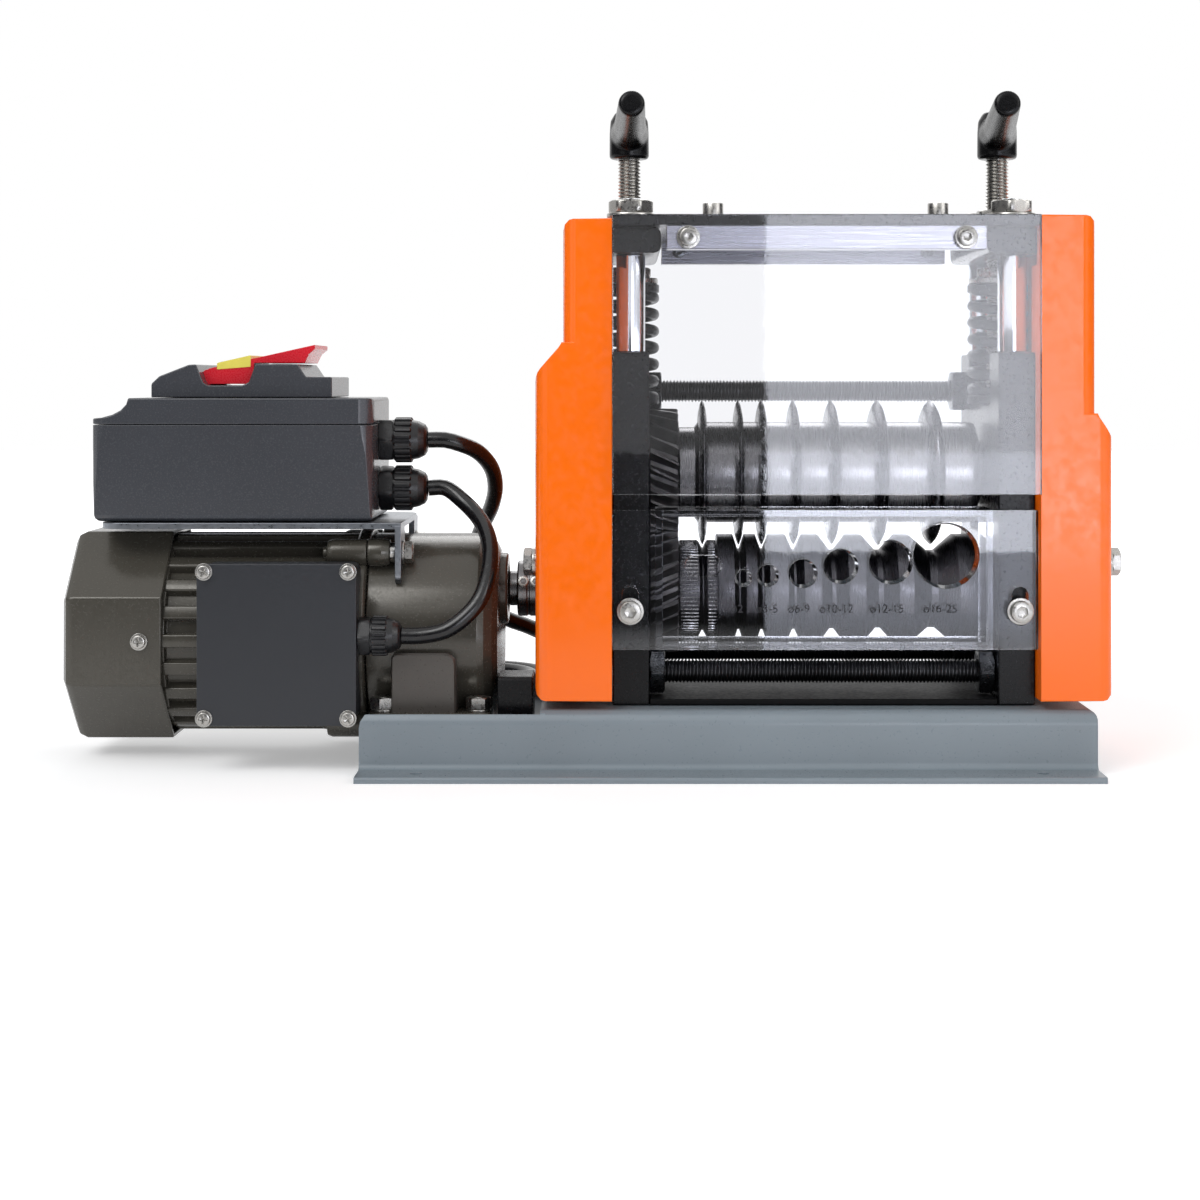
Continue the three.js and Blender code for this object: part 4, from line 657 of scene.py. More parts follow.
def end_tree(tree, given, geometry):
    dressing = {"Geometry": geometry, "Material": given["Finish"]}
    dressed = add_node(tree, "GeometryNodeSetMaterial", dressing).outputs["Geometry"]
    add_node(tree, "NodeGroupOutput", {"Geometry": dressed})


def evaluated(holder, name):
    """The mesh that an object has after its modifiers."""
    now = bpy.context.evaluated_depsgraph_get()
    mesh = bpy.data.meshes.new_from_object(holder.evaluated_get(now), depsgraph=now)
    mesh.name = name
    return mesh


def grown(tree, values):
    """Runs the tree on an empty mesh and gives its result as a mesh of its own."""
    holder = add_object("holder", bpy.data.meshes.new("holder"))
    change = holder.modifiers.new("grow", "NODES")
    change.node_group = tree
    for item in tree.interface.items_tree:
        if item.item_type == "SOCKET" and item.in_out == "INPUT" and item.name in values:
            change[item.identifier] = values[item.name]
    mesh = evaluated(holder, "grown")
    bpy.data.objects.remove(holder)
    return mesh


# %% [markdown]
# A spring or a thread is a profile swept along a spiral. Radius, pitch, length and the profile's size are
# the tree's inputs, so that one tree serves every size.


# %% The wound tree: a profile along a spiral
def wound_tree(name, corners):
    """A spring's bar has a rounded rectangle for its profile, and a thread's crest a kite."""
    inputs = [(label, FLOAT, 0.001) for label in ("Radius", "Pitch", "Length", "Width", "Height")]
    tree, given = new_tree(name, inputs + [("Corner", FLOAT, 0.0)])
    winding = {
        "Resolution": 36,
        "Start Radius": given["Radius"],
        "End Radius": given["Radius"],
        "Height": given["Length"],
        "Rotations": math_node(tree, "DIVIDE", given["Length"], given["Pitch"]),
    }
    spiral = add_node(tree, "GeometryNodeCurveSpiral", winding).outputs["Curve"]
    upright = add_node(tree, "GeometryNodeSetCurveNormal", {"Curve": spiral}, mode="Z_UP")
    sizes = {"Width": given["Width"]}
    if corners == "RECTANGLE":
        sizes["Height"] = given["Height"]
    else:
        half = math_node(tree, "MULTIPLY", given["Height"], 0.5)
        sizes.update({"Bottom Height": half, "Top Height": half})
    outline = add_node(tree, "GeometryNodeCurvePrimitiveQuadrilateral", sizes, mode=corners)
    outline = outline.outputs["Curve"]
    if corners == "RECTANGLE":
        soften = {"Curve": outline, "Count": 4, "Limit Radius": True, "Radius": given["Corner"]}
        outline = add_node(tree, "GeometryNodeFilletCurve", soften, mode="POLY").outputs["Curve"]
    sweep = {"Curve": upright.outputs["Curve"], "Profile Curve": outline, "Fill Caps": True}
    end_tree(tree, given, add_node(tree, "GeometryNodeCurveToMesh", sweep).outputs["Mesh"])
    return tree


wound_bar = wound_tree("wound_bar", "RECTANGLE")
wound_crest = wound_tree("wound_crest", "KITE")


# %% [markdown]
# Ribs are copies on as many points as there are ribs, all of them on the axis and each turned one step
# further. Screws are copies on the points of a mesh that holds nothing but their places.


# %% The ring tree and the set tree: copies of one piece
def copies(tree, given, points, step):
    """A copy of the piece on each point, each one step further round than the one before."""
    number = add_node(tree, "GeometryNodeInputIndex").outputs["Index"]
    turn = add_node(tree, "ShaderNodeCombineXYZ", {"Z": math_node(tree, "MULTIPLY", number, step)})
    model = add_node(tree, "GeometryNodeObjectInfo", {"Object": given["Piece"]}).outputs["Geometry"]
    laid = {"Points": points, "Instance": model, "Rotation": turn.outputs["Vector"]}
    set_out = add_node(tree, "GeometryNodeInstanceOnPoints", laid).outputs["Instances"]
    real = add_node(tree, "GeometryNodeRealizeInstances", {"Geometry": set_out}).outputs["Geometry"]
    end_tree(tree, given, real)


ringed, given = new_tree("ringed", [("Count", "NodeSocketInt", 12), ("Piece", OBJECT, None)])
line = add_node(ringed, "GeometryNodeMeshLine", {"Count": given["Count"], "Offset": (0, 0, 0)})
share = math_node(ringed, "DIVIDE", 2 * math.pi, given["Count"])
copies(ringed, given, line.outputs["Mesh"], share)

inputs = [("Places", OBJECT, None), ("Piece", OBJECT, None), ("Turn step", FLOAT, 0.0)]
placed, given = new_tree("placed", inputs)
where = add_node(placed, "GeometryNodeObjectInfo", {"Object": given["Places"]})
copies(placed, given, where.outputs["Geometry"], given["Turn step"])
print("the trees are", ", ".join(tree.name for tree in (wound_bar, wound_crest, ringed, placed)))


# %% [markdown]
# What a tree makes lies along +Z from the origin. It is turned, moved and joined to the piece in hand.


# %% Adding what a tree made
def toward(axis):
    """Turns what was made along +Z so that it lies along the given axis, +X, -Y and so on."""
    ahead = {"X": Vector((1, 0, 0)), "Y": Vector((0, 1, 0)), "Z": Vector((0, 0, 1))}[axis[-1]]
    if axis[0] == "-":
        ahead = -ahead
    return Vector((0, 0, 1)).rotation_difference(ahead).to_matrix().to_4x4()


def add_mesh(bm, mesh, matrix, material=0):
    """Adds a mesh, turned and moved, to the piece that is being made."""
    mesh.transform(matrix)
    first = len(bm.faces)
    bm.from_mesh(mesh)
    bm.faces.ensure_lookup_table()
    for face in bm.faces[first:]:
        face.material_index = material
    bpy.data.meshes.remove(mesh)


# %% Springs and threads
def coil_of(bm, tree, axis, start, sizes, paint, material=0):
    """A spring or a thread; start is where its axis begins, and all sizes are in millimetres."""
    labels = ("Radius", "Pitch", "Length", "Width", "Height", "Corner")
    values = {label: value * MM for label, value in zip(labels, sizes)}
    mesh = grown(tree, {**values, "Finish": paint})
    add_mesh(bm, mesh, Matrix.Translation(at(*start)) @ toward(axis), material)


M10_PITCH = 1.5


def thread(bm, axis, start, radius, length, paint, material=0):
    """The crests of a metric thread: a kite, half sunk in a plain rod."""
    depth = 0.6 * M10_PITCH
    sizes = (radius - depth, M10_PITCH, length, 2 * depth, 0.92 * M10_PITCH, 0)
    coil_of(bm, wound_crest, axis, start, sizes, paint, material)


# %% Models and their copies
models = []


def model_of(name, build):
    """A model at the origin for the ring and set trees to copy; it is removed at the end."""
    bm = bmesh.new()
    build(bm)
    bmesh.ops.recalc_face_normals(bm, faces=bm.faces)
    bmesh.ops.translate(bm, verts=bm.verts, vec=-at(0, 0, 0))
    made = add_object(name, mesh_of(bm, name))
    models.append(made)
    return made


def ring_of(bm, axis, start, count, model, paint, size=1.0):
    mesh = grown(ringed, {"Count": count, "Piece": model, "Finish": paint})
    place = Matrix.Translation(at(*start)) @ toward(axis) @ Matrix.Scale(size, 4)
    add_mesh(bm, mesh, place)


def set_on(bm, axis, points, model, paint, turn_step):
    """Copies of a model on points, all facing the same way."""
    aim = toward(axis)
    back = aim.inverted()
    spots = bpy.data.meshes.new("places")
    spots.from_pydata([tuple(back @ at(*p)) for p in points], [], [])
    places = add_object("places", spots)
    mesh = grown(placed, {"Places": places, "Piece": model, "Turn step": turn_step, "Finish": paint})
    bpy.data.objects.remove(places)
    add_mesh(bm, mesh, aim)

# %% [markdown]
# ## Building the cords
# A sheath is one closed tube that comes out of its gland's dome. The far end of the mains cord is a
# moulded plug: ribs on the neck let it bend, and the pins have sleeves at their roots.

# %% The mains cord
bm = bmesh.new()
tube(bm, cord_path, CABLE_RADIUS)
mains_cable = piece("mains_cable", bm, "frame", rubber, "cable_rubber", "mains_cord", "mains_coil")

# %% [markdown]
# The plug is plain and round, with two pins. It is not in the photograph and has only what it needs.

# %% The plug
plug_x, plug_y, plug_z = coil_end[0], coil_end[1] + 16.3, 11.5
neck = [(4.55, 0)]
for i in range(4):
    reach = 4.7 + i * 0.75
    near = i * 4.2
    neck += [(reach, 1.5 + near), (reach + 0.5, 4 + near)]
    neck += [(reach - 0.9, 4.4 + near), (reach - 0.7, 5.3 + near)]
grip = [(8.96, 21), (11.1, 28), (10.4, 33), (10.4, 42), (11.2, 47), (11.2, 52), (0, 52)]
sleeve = [(0, 51), (2, 51), (2, 61.5), (1.85, 62), (0, 62)]
tip = [(0, 60), (1.85, 60), (1.85, 70), (0.9, 71), (0, 71)]


def along_plug(profile):
    return [(r, plug_y + s) for r, s in profile]


bm = bmesh.new()
turned(bm, "Y", (plug_x, plug_z), along_plug([(0, 0)] + neck + grip), 0.7, 64)
for side in (-1, 1):
    pin = (plug_x + side * 7.6, plug_z)
    turned(bm, "Y", pin, along_plug(sleeve), 0.1, 24)
    turned(bm, "Y", pin, along_plug(tip), 0.6, 24, 1)
plug = piece("plug", bm, "frame", [gland_black, zinc], "black_plastic", "mains_plug")

# %% [markdown]

# %% [markdown]
# The short lead is made in the same way. Both its ends are held by glands, so it has no plug.

# %% The motor lead
bm = bmesh.new()
tube(bm, lead_path, CABLE_RADIUS)
lead = piece("motor_cable", bm, "frame", rubber, "cable_rubber", "motor_lead")

# %% [markdown]
# ## The rolls
# Wire is drawn between a grooved roll below and round blades above, which slit its jacket. Both were
# turned on a lathe, so each is a profile set round its shaft; tool marks are left to the steel's grain.

# %% The cutting shaft
UPPER_Z = 120.6
LOWER_Z = 70.1
blade_x = [-48.4, -32.8, -22.8, -9, 7.5, 27.5, 50.5]
blade_width = [3.6, 3.6, 4, 4.6, 5.2, 6.2, 7.4]
drum = [(0, -91), (9.2, -91), (10, -90.2), (10, -58.9), (19.1, -58.9), (19.5, -58.4), (19.5, -51.9)]
for x, width in zip(blade_x, blade_width):
    for side in (-1, 1):
        seam = x + side * width * 0.42
        drum += [(21.75, seam - 0.35), (21.4, seam), (21.75, seam + 0.35)]
drum += [(21.75, 66), (21.3, 69), (14, 69), (14, 71.4), (10, 71.4), (10, 90.2), (9.2, 91), (0, 91)]
bm = bmesh.new()
turned(bm, "X", (0, UPPER_Z), drum, 0.25, 96)
piece("cutting_shaft", bm, "upper_roll", steel_x, "steel", "upper_shaft")

# %% [markdown]
# The flanks of a blade bulge, so it is sharp at its edge and strong at its foot.

# %% The round blades
for i, (x, width) in enumerate(zip(blade_x, blade_width)):
    half = width / 2
    tall = 31.3 - 22.1
    flank = [(half, 22.1), (half * 0.97, 22.1 + tall * 0.2), (half * 0.88, 22.1 + tall * 0.42)]
    flank += [(half * 0.7, 22.1 + tall * 0.63), (half * 0.46, 22.1 + tall * 0.81), (0.12, 31.3)]
    shape = [(r, x - w) for w, r in flank] + [(r, x + w) for w, r in reversed(flank)]
    bm = bmesh.new()
    rings(bm, "X", (0, UPPER_Z), [(21.5, x - half)] + shape + [(21.5, x + half)], 128, closed=True)
    piece(f"round_blade_{i + 1}", bm, "upper_roll", blade_steel, "steel", f"blade_{i + 1}", angle=50)

# %% [markdown]
# Under each blade runs a V-groove for one range of wires. The first lies in the narrow, knurled end.

# %% The grooved roll
groove_width = [3.4, 5, 5.6, 7, 11.8, 14.2, 19.5]
groove_depth = [5.8, 6.2, 6.2, 6.3, 6.5, 6.8, 7]
roll = [(0, -127.7), (7.4, -127.7), (8, -127.1), (8, -92), (10, -91.4), (10, -58.9)]
roll += [(20.2, -58.9), (20.6, -58.4)]
for x, width, depth in zip(blade_x, groove_width, groove_depth):
    lip = 20.6 if x == blade_x[0] else 23.65
    if x == blade_x[1]:
        roll += [(20.6, -42.6), (20.6, -42.3), (23.65, -42.3)]
    half = width / 2
    floor = half * 0.16
    bottom = 23.65 - depth
    roll += [(lip, x - half), (bottom, x - floor), (bottom, x + floor), (lip, x + half)]
roll += [(23.65, 68.6), (23.2, 69), (14, 69), (14, 71.4), (10, 71.4), (10, 90.2), (9.2, 91), (0, 91)]
bm = bmesh.new()
turned(bm, "X", (0, LOWER_Z), roll, 0.22, 112)
piece("grooved_roll", bm, "drive_roll", roll_steel, "steel", "lower_roll")
print("the rolls run", round(UPPER_Z - LOWER_Z, 1), "mm apart with", len(blade_x), "blades")

# %% [markdown]
# ## The gears
# Two equal helical gears make the rolls turn together. One tooth's outline, with a rounded root and
# tip, is repeated round the wheel and twisted a little from slice to slice along its width.


# %% One gear
TEETH = 24
GEAR_LEFT, GEAR_RIGHT = -71.4, -59
SLICES = 8


def gear_wheel(name, body, node, axis_z, first, twist):
    step = 2 * math.pi / TEETH
    flank = [(21.85, 0.4), (21.85, 0.335), (23.2, 0.25), (25.25, 0.1725)]
    flank += [(26.4, 0.132), (27.35, 0.09), (27.6, 0.06)]
    tooth = flank + [(r, -share) for r, share in reversed(flank)]
    outline = {}
    for k in range(TEETH):
        for r, share in tooth:
            outline[first + (k - share) * step] = r
    left, right = GEAR_LEFT, GEAR_RIGHT
    stations = [(10.2, left), (13.5, left), (14.5, left + 0.5), (19.4, left + 0.5), (20.2, left)]
    for k in range(SLICES + 1):
        share = k / SLICES
        inset = 0.45 if k in (0, SLICES) else 0
        place = left + (right - left) * share
        turn = twist * (share - 0.5)
        stations.append((lambda a, inset=inset: outline[a] - inset, place, turn))
        if k in (0, SLICES):
            inner = place + (0.5 if k == 0 else -0.5)
            full = (lambda a: outline[a], inner, turn)
            stations.insert(len(stations) if k == 0 else -1, full)
    stations.append((10.2, right))
    bm = bmesh.new()
    rings(bm, "X", (0, axis_z), stations, angles=list(outline), closed=True)
    piece(name, bm, body, gear_steel, "steel", node, angle=40)


# %% [markdown]
# The helices lean to opposite sides, and the lower gear is turned by half a tooth, so that they mesh.

# %% Both gears
slant = math.radians(12)
down, up = -math.pi / 2, math.pi / 2
half_tooth = math.pi / TEETH
gear_wheel("helical_gear_upper", "upper_roll", "gear_upper", UPPER_Z, down, slant)
gear_wheel("helical_gear_lower", "drive_roll", "gear_lower", LOWER_Z, up + half_tooth, -slant)
print("two gears of", TEETH, "teeth,", round(GEAR_RIGHT - GEAR_LEFT, 1), "mm wide")

# %% [markdown]
# ## The coupling
# A turned sleeve joins the gearbox to the driven roll. Two screws pinch it on the shafts.

# %% The coupling and its screws
TO_ORIGIN = Matrix.Translation(-at(0, 0, 0))
bm = bmesh.new()
sleeve = [(0, -132), (7, -132), (7.5, -131.5), (7.5, -128.4), (11.4, -128.3), (12, -127.7), (12, -124.2)]
sleeve += [(11.6, -123.9), (11.6, -123.1), (12, -122.8), (12, -117.6), (11.4, -117)]
sleeve += [(8.3, -117), (8.3, -127), (0, -127)]
turned(bm, "X", (0, LOWER_Z), sleeve, 0.25, 64)
for turn in (-1.9, 1.24):
    pinch = bmesh.new()
    for x in (-125.6, -120.2):
        head(pinch, "Z", (x, 0), 10.2, 12.4, 2.4, hexagon(2.4), 1.4, edge=0.3)
    spin = Matrix.Translation(at(0, 0, LOWER_Z)) @ Matrix.Rotation(turn, 4, "X")
    add_mesh(bm, mesh_of(pinch, "pinch"), spin @ TO_ORIGIN, 1)
piece("shaft_coupling", bm, "drive_roll", [steel_x, zinc], "steel", "coupling")

# %% [markdown]
# ## Springs and press screws
# A heavy spring of flat wire stands on each bearing block and the press screw goes down through it. The
# screw's thread is M10, 1.5 mm a turn, so the trees wind both from their real sizes.

# %% The springs
PRESS_X = 80
for side, word in SIDES:
    bm = bmesh.new()
    wire = (10.8, 7.2, 46.4, 4.4, 4.4, 1.9)
    coil_of(bm, wound_bar, "Z", (side * PRESS_X, 0, 153), wire, spring_paint)
    for low in (150.3, 198.4):
        flat = [(8.6, low + 0.3), (9, low), (12.6, low), (13, low + 0.4), (13, low + 3.2), (12.6, low + 3.6)]
        flat += [(9, low + 3.6), (8.6, low + 3.3)]
        rings(bm, "Z", (side * PRESS_X, 0), flat, 64, closed=True)
    piece(f"die_spring_{word}", bm, "carriage", spring_paint, "black_paint", f"spring_{word}")

# %% [markdown]
# A plain stem carries the wound thread. The washer and the nut on it rest on the spring.

# %% The press screws with their washers and nuts
M10_FLATS = 17
threaded = 120.5
for side, word in SIDES:
    x = side * PRESS_X
    bm = bmesh.new()
    stem = [(0, 138.3), (4, 138.3), (4.2, 138.6), (4.2, 261.7), (4, 262), (0, 262)]
    turned(bm, "Z", (x, 0), stem, 0.2, 40)
    thread(bm, "Z", (x, 0, 139.4), 5.02, threaded, zinc)
    plate = [(5.3, 202.3), (12.1, 202.3), (12.4, 202.6), (12.4, 204.4), (12.1, 204.7), (5.3, 204.7)]
    rings(bm, "Z", (x, 0), plate, 64, 1, closed=True)
    nut(bm, "Z", (x, 0), M10_FLATS, 204.7, 209.3, 5.2, 1, 0.3 * side)
    stands_for = f"press_screw_{word}"
    piece(f"threaded_press_screw_{word}", bm, f"press_{word}", [zinc, zinc], "steel", stands_for)
    print("the", word, "press screw has", round(threaded / M10_PITCH), "turns of thread")

# %% [markdown]
# ## Clamping levers
# Each lever is one black moulding: a hub over the end of the screw and an arm that grows out of it. Two
# turned forms are overlapped, remeshed into one skin and relaxed, which rounds the inside corner.


# %% One skin from overlapping forms
def one_skin(bm, voxel, rounds):
    bmesh.ops.recalc_face_normals(bm, faces=bm.faces)
    holder = add_object("skin", mesh_of(bm, "skin"))
    skin = holder.modifiers.new("remesh", "REMESH")
    skin.mode = "VOXEL"
    skin.voxel_size = voxel * MM
    relax = holder.modifiers.new("relax", "SMOOTH")
    relax.factor = 0.5
    relax.iterations = rounds
    done = evaluated(holder, "skin")
    bpy.data.objects.remove(holder)
    bm = bmesh.new()
    add_mesh(bm, done, Matrix.Identity(4))
    return bm


# %% The levers
rise = 7
aside = {"left": 0.8, "right": -5.5}
for side, word in SIDES:
    x = side * PRESS_X
    bm = bmesh.new()
    hub = [(0, 256.4), (8.6, 256.4), (8.5, 268), (8.2, 273), (6, 276.8), (0, 277.6)]
    rings(bm, "Z", (x, 0), rounded(hub, 1.5, 5), 48)
    arm_bm = bmesh.new()
    arm = [(0, -5), (5, -4.5), (8, -1), (8, 4), (6.9, 14), (5.5, 56.5), (5.2, 57.7), (4.4, 58.3), (0, 58.3)]
    rings(arm_bm, "Z", (0, 0), rounded(arm, 1, 4), 48)
    turn = Matrix.Rotation(math.radians(aside[word]), 4, "Z")
    lean = Matrix.Rotation(math.radians(90 - rise), 4, "X")
    aim = Matrix.Translation(at(x, 0, 266.9)) @ turn @ lean @ TO_ORIGIN
    add_mesh(bm, mesh_of(arm_bm, "arm"), aim)
    bm = one_skin(bm, 0.55, 14)
    stands_for = f"handle_{word}"
    piece(f"clamp_lever_{word}", bm, f"press_{word}", lever_black, "black_plastic", stands_for, angle=60)
    print("the", word, "lever reaches", round(58 * math.cos(math.radians(rise)), 1), "mm to the feed side")

# %% [markdown]
# ## Guide rods and tie rods
# Polished rods carry the top bars. Their thinner ends pass through the bar and the top plate and are
# held by a washer and a nut. The tie rods are plain M10 thread with nuts against the side plates.

# %% The guide rods
for side, word in SIDES:
    for y, place in ((-38, "front"), (38, "rear")):
        x = side * 79.5
        bm = bmesh.new()
        shape = [(0, 172.3), (5.8, 172.3), (6, 172.5), (6, 212.5), (5.8, 212.7), (4.2, 212.7)]
        shape += [(4.2, 236), (4, 236.2), (0, 236.2)]
        turned(bm, "Z", (x, y), shape, 0.2, 64)
        thread(bm, "Z", (x, y, 228.8), 5, 6.6, zinc, 1)
        flat = [(5.3, 228.2), (9.8, 228.2), (10, 228.5), (10, 229.7), (9.8, 230), (5.3, 230)]
        rings(bm, "Z", (x, y), flat, 64, 2, closed=True)
        nut(bm, "Z", (x, y), 16.6, 230, 235.5, 5.1, 2, 0.12 + 0.2 * side)
        stands_for = f"guide_rod_{place}_{word}"
        piece(f"chrome_rod_{place}_{word}", bm, "frame", [chrome, zinc, zinc], "chrome", stands_for)

# %% [markdown]
# The tie rods' ends come from the CAD model, and each has a nut against the inside of either plate.

# %% The tie rods
for name, y, z in (("lower_front", -36, 38.9), ("lower_rear", 36, 38.9), ("upper_rear", 39, 155.6)):
    low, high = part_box(f"tie_rod_{name}")
    left, right = low[0] / MM - MIDDLE_X, high[0] / MM - MIDDLE_X
    bm = bmesh.new()
    core = [(0, left), (4, left), (4.2, left + 0.3), (4.2, right - 0.3), (4, right), (0, right)]
    turned(bm, "X", (y, z), core, 0.2, 32)
    thread(bm, "X", (left + 1.2, y, z), 5, right - left - 2.4, dark_thread)
    for side in (-1, 1):
        ends = sorted((side * 65.3, side * 71.7))
        nut(bm, "X", (y, z), M10_FLATS, *ends, 5.1, 1)
    piece(f"threaded_tie_{name}", bm, "frame", [dark_thread, dark_nut], "steel", f"tie_rod_{name}")
    print("tie rod", name, "is", round(right - left, 1), "mm long")

# %% [markdown]
# ## The geared motor
# The motor is a small three-part casting: a ribbed body, a flange with through bolts, and a round
# gearbox with an off-centre boss. The ribs are one bar copied round the axis by the ring tree.

# %% The ribbed body and its flange
AXIS_Z = 52
RIBS = 22


def rib(bm):
    """One bar, set half a step round, so that none points straight down."""
    outline = rounded([(37.5, -3.3), (42.5, -2.7), (42.5, 2.7), (37.5, 3.3)], 0.9, 3, closed=True)
    c, s = math.cos(math.pi / RIBS), math.sin(math.pi / RIBS)
    pushed(bm, "Z", [(u * c - v * s, u * s + v * c) for u, v in outline], 0, 79)


bm = bmesh.new()
core = [(0, -280), (40.6, -280), (41.6, -279.2), (41.6, -273.7), (38.6, -273.4), (38.6, -196)]
core += [(43.6, -196), (44.6, -195), (44.6, -191.3), (43.9, -190.6), (42, -190.3), (0, -190.3)]
turned(bm, "X", (0, AXIS_Z), core, 0.5, 128)
ring_of(bm, "X", (-274.6, 0, AXIS_Z), RIBS, model_of("rib", rib), bronze)
for side in (-1, 1):
    for rise in (-36, 36):
        lug = [(0, -209), (2.2, -209), (2.5, -207.2), (4.9, -206.8), (5.6, -204.8)]
        lug += [(5.6, -190.3), (0, -190.3)]
        turned(bm, "X", (side * 30, AXIS_Z + rise), lug, 0.6, 40)
piece("ribbed_motor", bm, "frame", bronze, "motor_paint", "motor_body")
print("the motor has", RIBS, "ribs")

# %% [markdown]
# The gearbox is one turned profile with a boss above its centre, where the shaft comes out. Its foot and
# the block in front are outlines pushed up and across.

# %% The gearbox
bm = bmesh.new()
drum = [(0, -189.9), (41.6, -189.9), (42, -189.5), (42, -143.8), (41.2, -141)]
drum += [(38.6, -137.6), (34.6, -135.5), (0, -135.5)]
turned(bm, "X", (0, AXIS_Z), drum, 0.9, 128)
boss = [(0, -139), (15.3, -139), (15.3, -133), (14.6, -132.3), (10.4, -132.3), (10, -133.3), (0, -133.3)]
turned(bm, "X", (0, LOWER_Z), boss, 0.4, 64)
foot = rounded([(-188, -50), (-137.5, -50), (-137.5, 50), (-188, 50)], 5, 5, closed=True)
pushed(bm, "Z", foot, 14, 23, edge=0.7)
block = rounded([(-178.7, 14), (-152, 14), (-152, 47.5, 5), (-178.7, 47.5, 2.5)], 0.3, 6, closed=True)
pushed(bm, "Y", block, -47, 0, material=1, edge=0.9)
for side in (-1, 1):
    for rise in (-36, 36):
        centre = (side * 30, AXIS_Z + rise)
        lug = [(0, -189.9), (6, -189.9), (6, -184), (5.2, -180.6), (0, -179.8)]
        turned(bm, "X", centre, lug, 0.7, 40)
        head(bm, "X", centre, -181.4, -178.3, 4.2, hexagon(4.2), 2, 2)
piece("round_gearbox", bm, "frame", [bronze, foot_paint, zinc], "motor_paint", "gearbox")

# %% [markdown]
# ## Cable glands
# A gland is a hexagon flange, a ribbed nut that fingers can turn, and a dome that narrows on the cable.
# The ribs come from the ring tree; the dome and the flange are turned.


# %% One gland
def gland_rib(bm):
    outline = rounded([(8, -1.25), (9.75, -0.85), (9.75, 0.85), (8, 1.25)], 0.4, 2, closed=True)
    pushed(bm, "Z", outline, 0, 7.4, edge=0.5)


GLAND_RIBS = 18
gland_rib_model = model_of("gland_rib", gland_rib)


def cable_gland(name, node, x, y, z, size, turn):
    """size is 1 for the larger glands; x is the face of the box that the gland is screwed into."""
    flange = hexagon(17 * size, turn)
    corner = 9.8 * size
    wide = within(flange, corner)
    stations = [(0, x), (within(flange, corner * 0.95), x), (wide, x + 0.5), (wide, x + 5 * size)]
    stations += [(within(flange, corner * 0.93), x + 5.6 * size), (8.2 * size, x + 5.6 * size)]
    stations += [(8.2 * size, x + 6.1 * size), (0, x + 6.1 * size)]
    profile = [(0, 6), (8.9, 6), (9, 6.4), (8.7, 13.2), (8.4, 14.6), (8, 16.6), (6.7, 19.2), (5.2, 20.2)]
    profile += [(4, 20.35), (4, 19.2), (0, 19.2)]
    bm = bmesh.new()
    rings(bm, "X", (y, z), stations, 72)
    turned(bm, "X", (y, z), [(r * size, x + s * size) for r, s in profile], 0.5, 72)
    start = (x + 6.4 * size, y, z)
    ring_of(bm, "X", start, GLAND_RIBS, gland_rib_model, gland_black, size)
    piece(name, bm, "frame", gland_black, "black_plastic", node)


# %% The three glands
cable_gland("ribbed_gland_mains", "gland_mains", -187.2, -8, 134.8, 1, 0)
cable_gland("ribbed_gland_lead_box", "gland_lead_box", -187.2, -8, 114.1, 1, 0.26)
cable_gland("ribbed_gland_lead_motor", "gland_lead_motor", -191.3, -51.2, 55.4, 0.85, 0.1)
print("three glands of", GLAND_RIBS, "ribs each")

# %% [markdown]
# ## Sheet, plate and moulded parts
# These are right in the CAD model, but real edges are never razor sharp and catch a thin line of light.
# A copy of each mesh is merged, its flat triangles are joined, and a small Bevel rounds the edges.


# %% Eased copies
def eased(name, node, body, materials, slot, width=0.4, angle=32, smooth=38, without=None, merge=True):
    """without(x, y, z) is true for the points of a plain fastener that is made again in detail.

    Flat faces are merged first, except on a face with many slots, which fills badly as one polygon.
    """
    bm = bmesh.new()
    bm.from_mesh(nodes[node].data)
    bmesh.ops.remove_doubles(bm, verts=bm.verts, dist=0.02 * MM)
    if without:
        gone = [v for v in bm.verts if without(v.co.x / MM - MIDDLE_X, v.co.y / MM, v.co.z / MM)]
        bmesh.ops.delete(bm, geom=gone, context="VERTS")
        rims = [e for e in bm.edges if e.is_boundary]
        bmesh.ops.holes_fill(bm, edges=rims, sides=0)
    if merge:
        flat = math.radians(0.4)
        bmesh.ops.dissolve_limit(bm, angle_limit=flat, verts=bm.verts, edges=bm.edges)
    for face in bm.faces:
        face.material_index = 0
    made = piece(name, bm, body, materials, slot, node, angle=smooth)
    soften_edges(made, width, angle)
    return made


def soften_edges(made, width, angle=32):
    bevel = made.modifiers.new("bevel", "BEVEL")
    bevel.width = width * MM
    bevel.segments = 2
    bevel.limit_method = "ANGLE"
    bevel.angle_limit = math.radians(angle)
    bevel.use_clamp_overlap = True
    bevel.miter_outer = "MITER_ARC"
    even = made.modifiers.new("even", "WEIGHTED_NORMAL")
    even.keep_sharp = True


# %% [markdown]
# The side covers are mouldings and have softer edges than plate: a wider bevel runs round their front and
# rear faces, before the fine one. Each cover's bolt is plain in the CAD model and is made again below.


# %% Softer covers
def beyond_cover(x, y, z):
    return x < -118.8 or x > 117.1


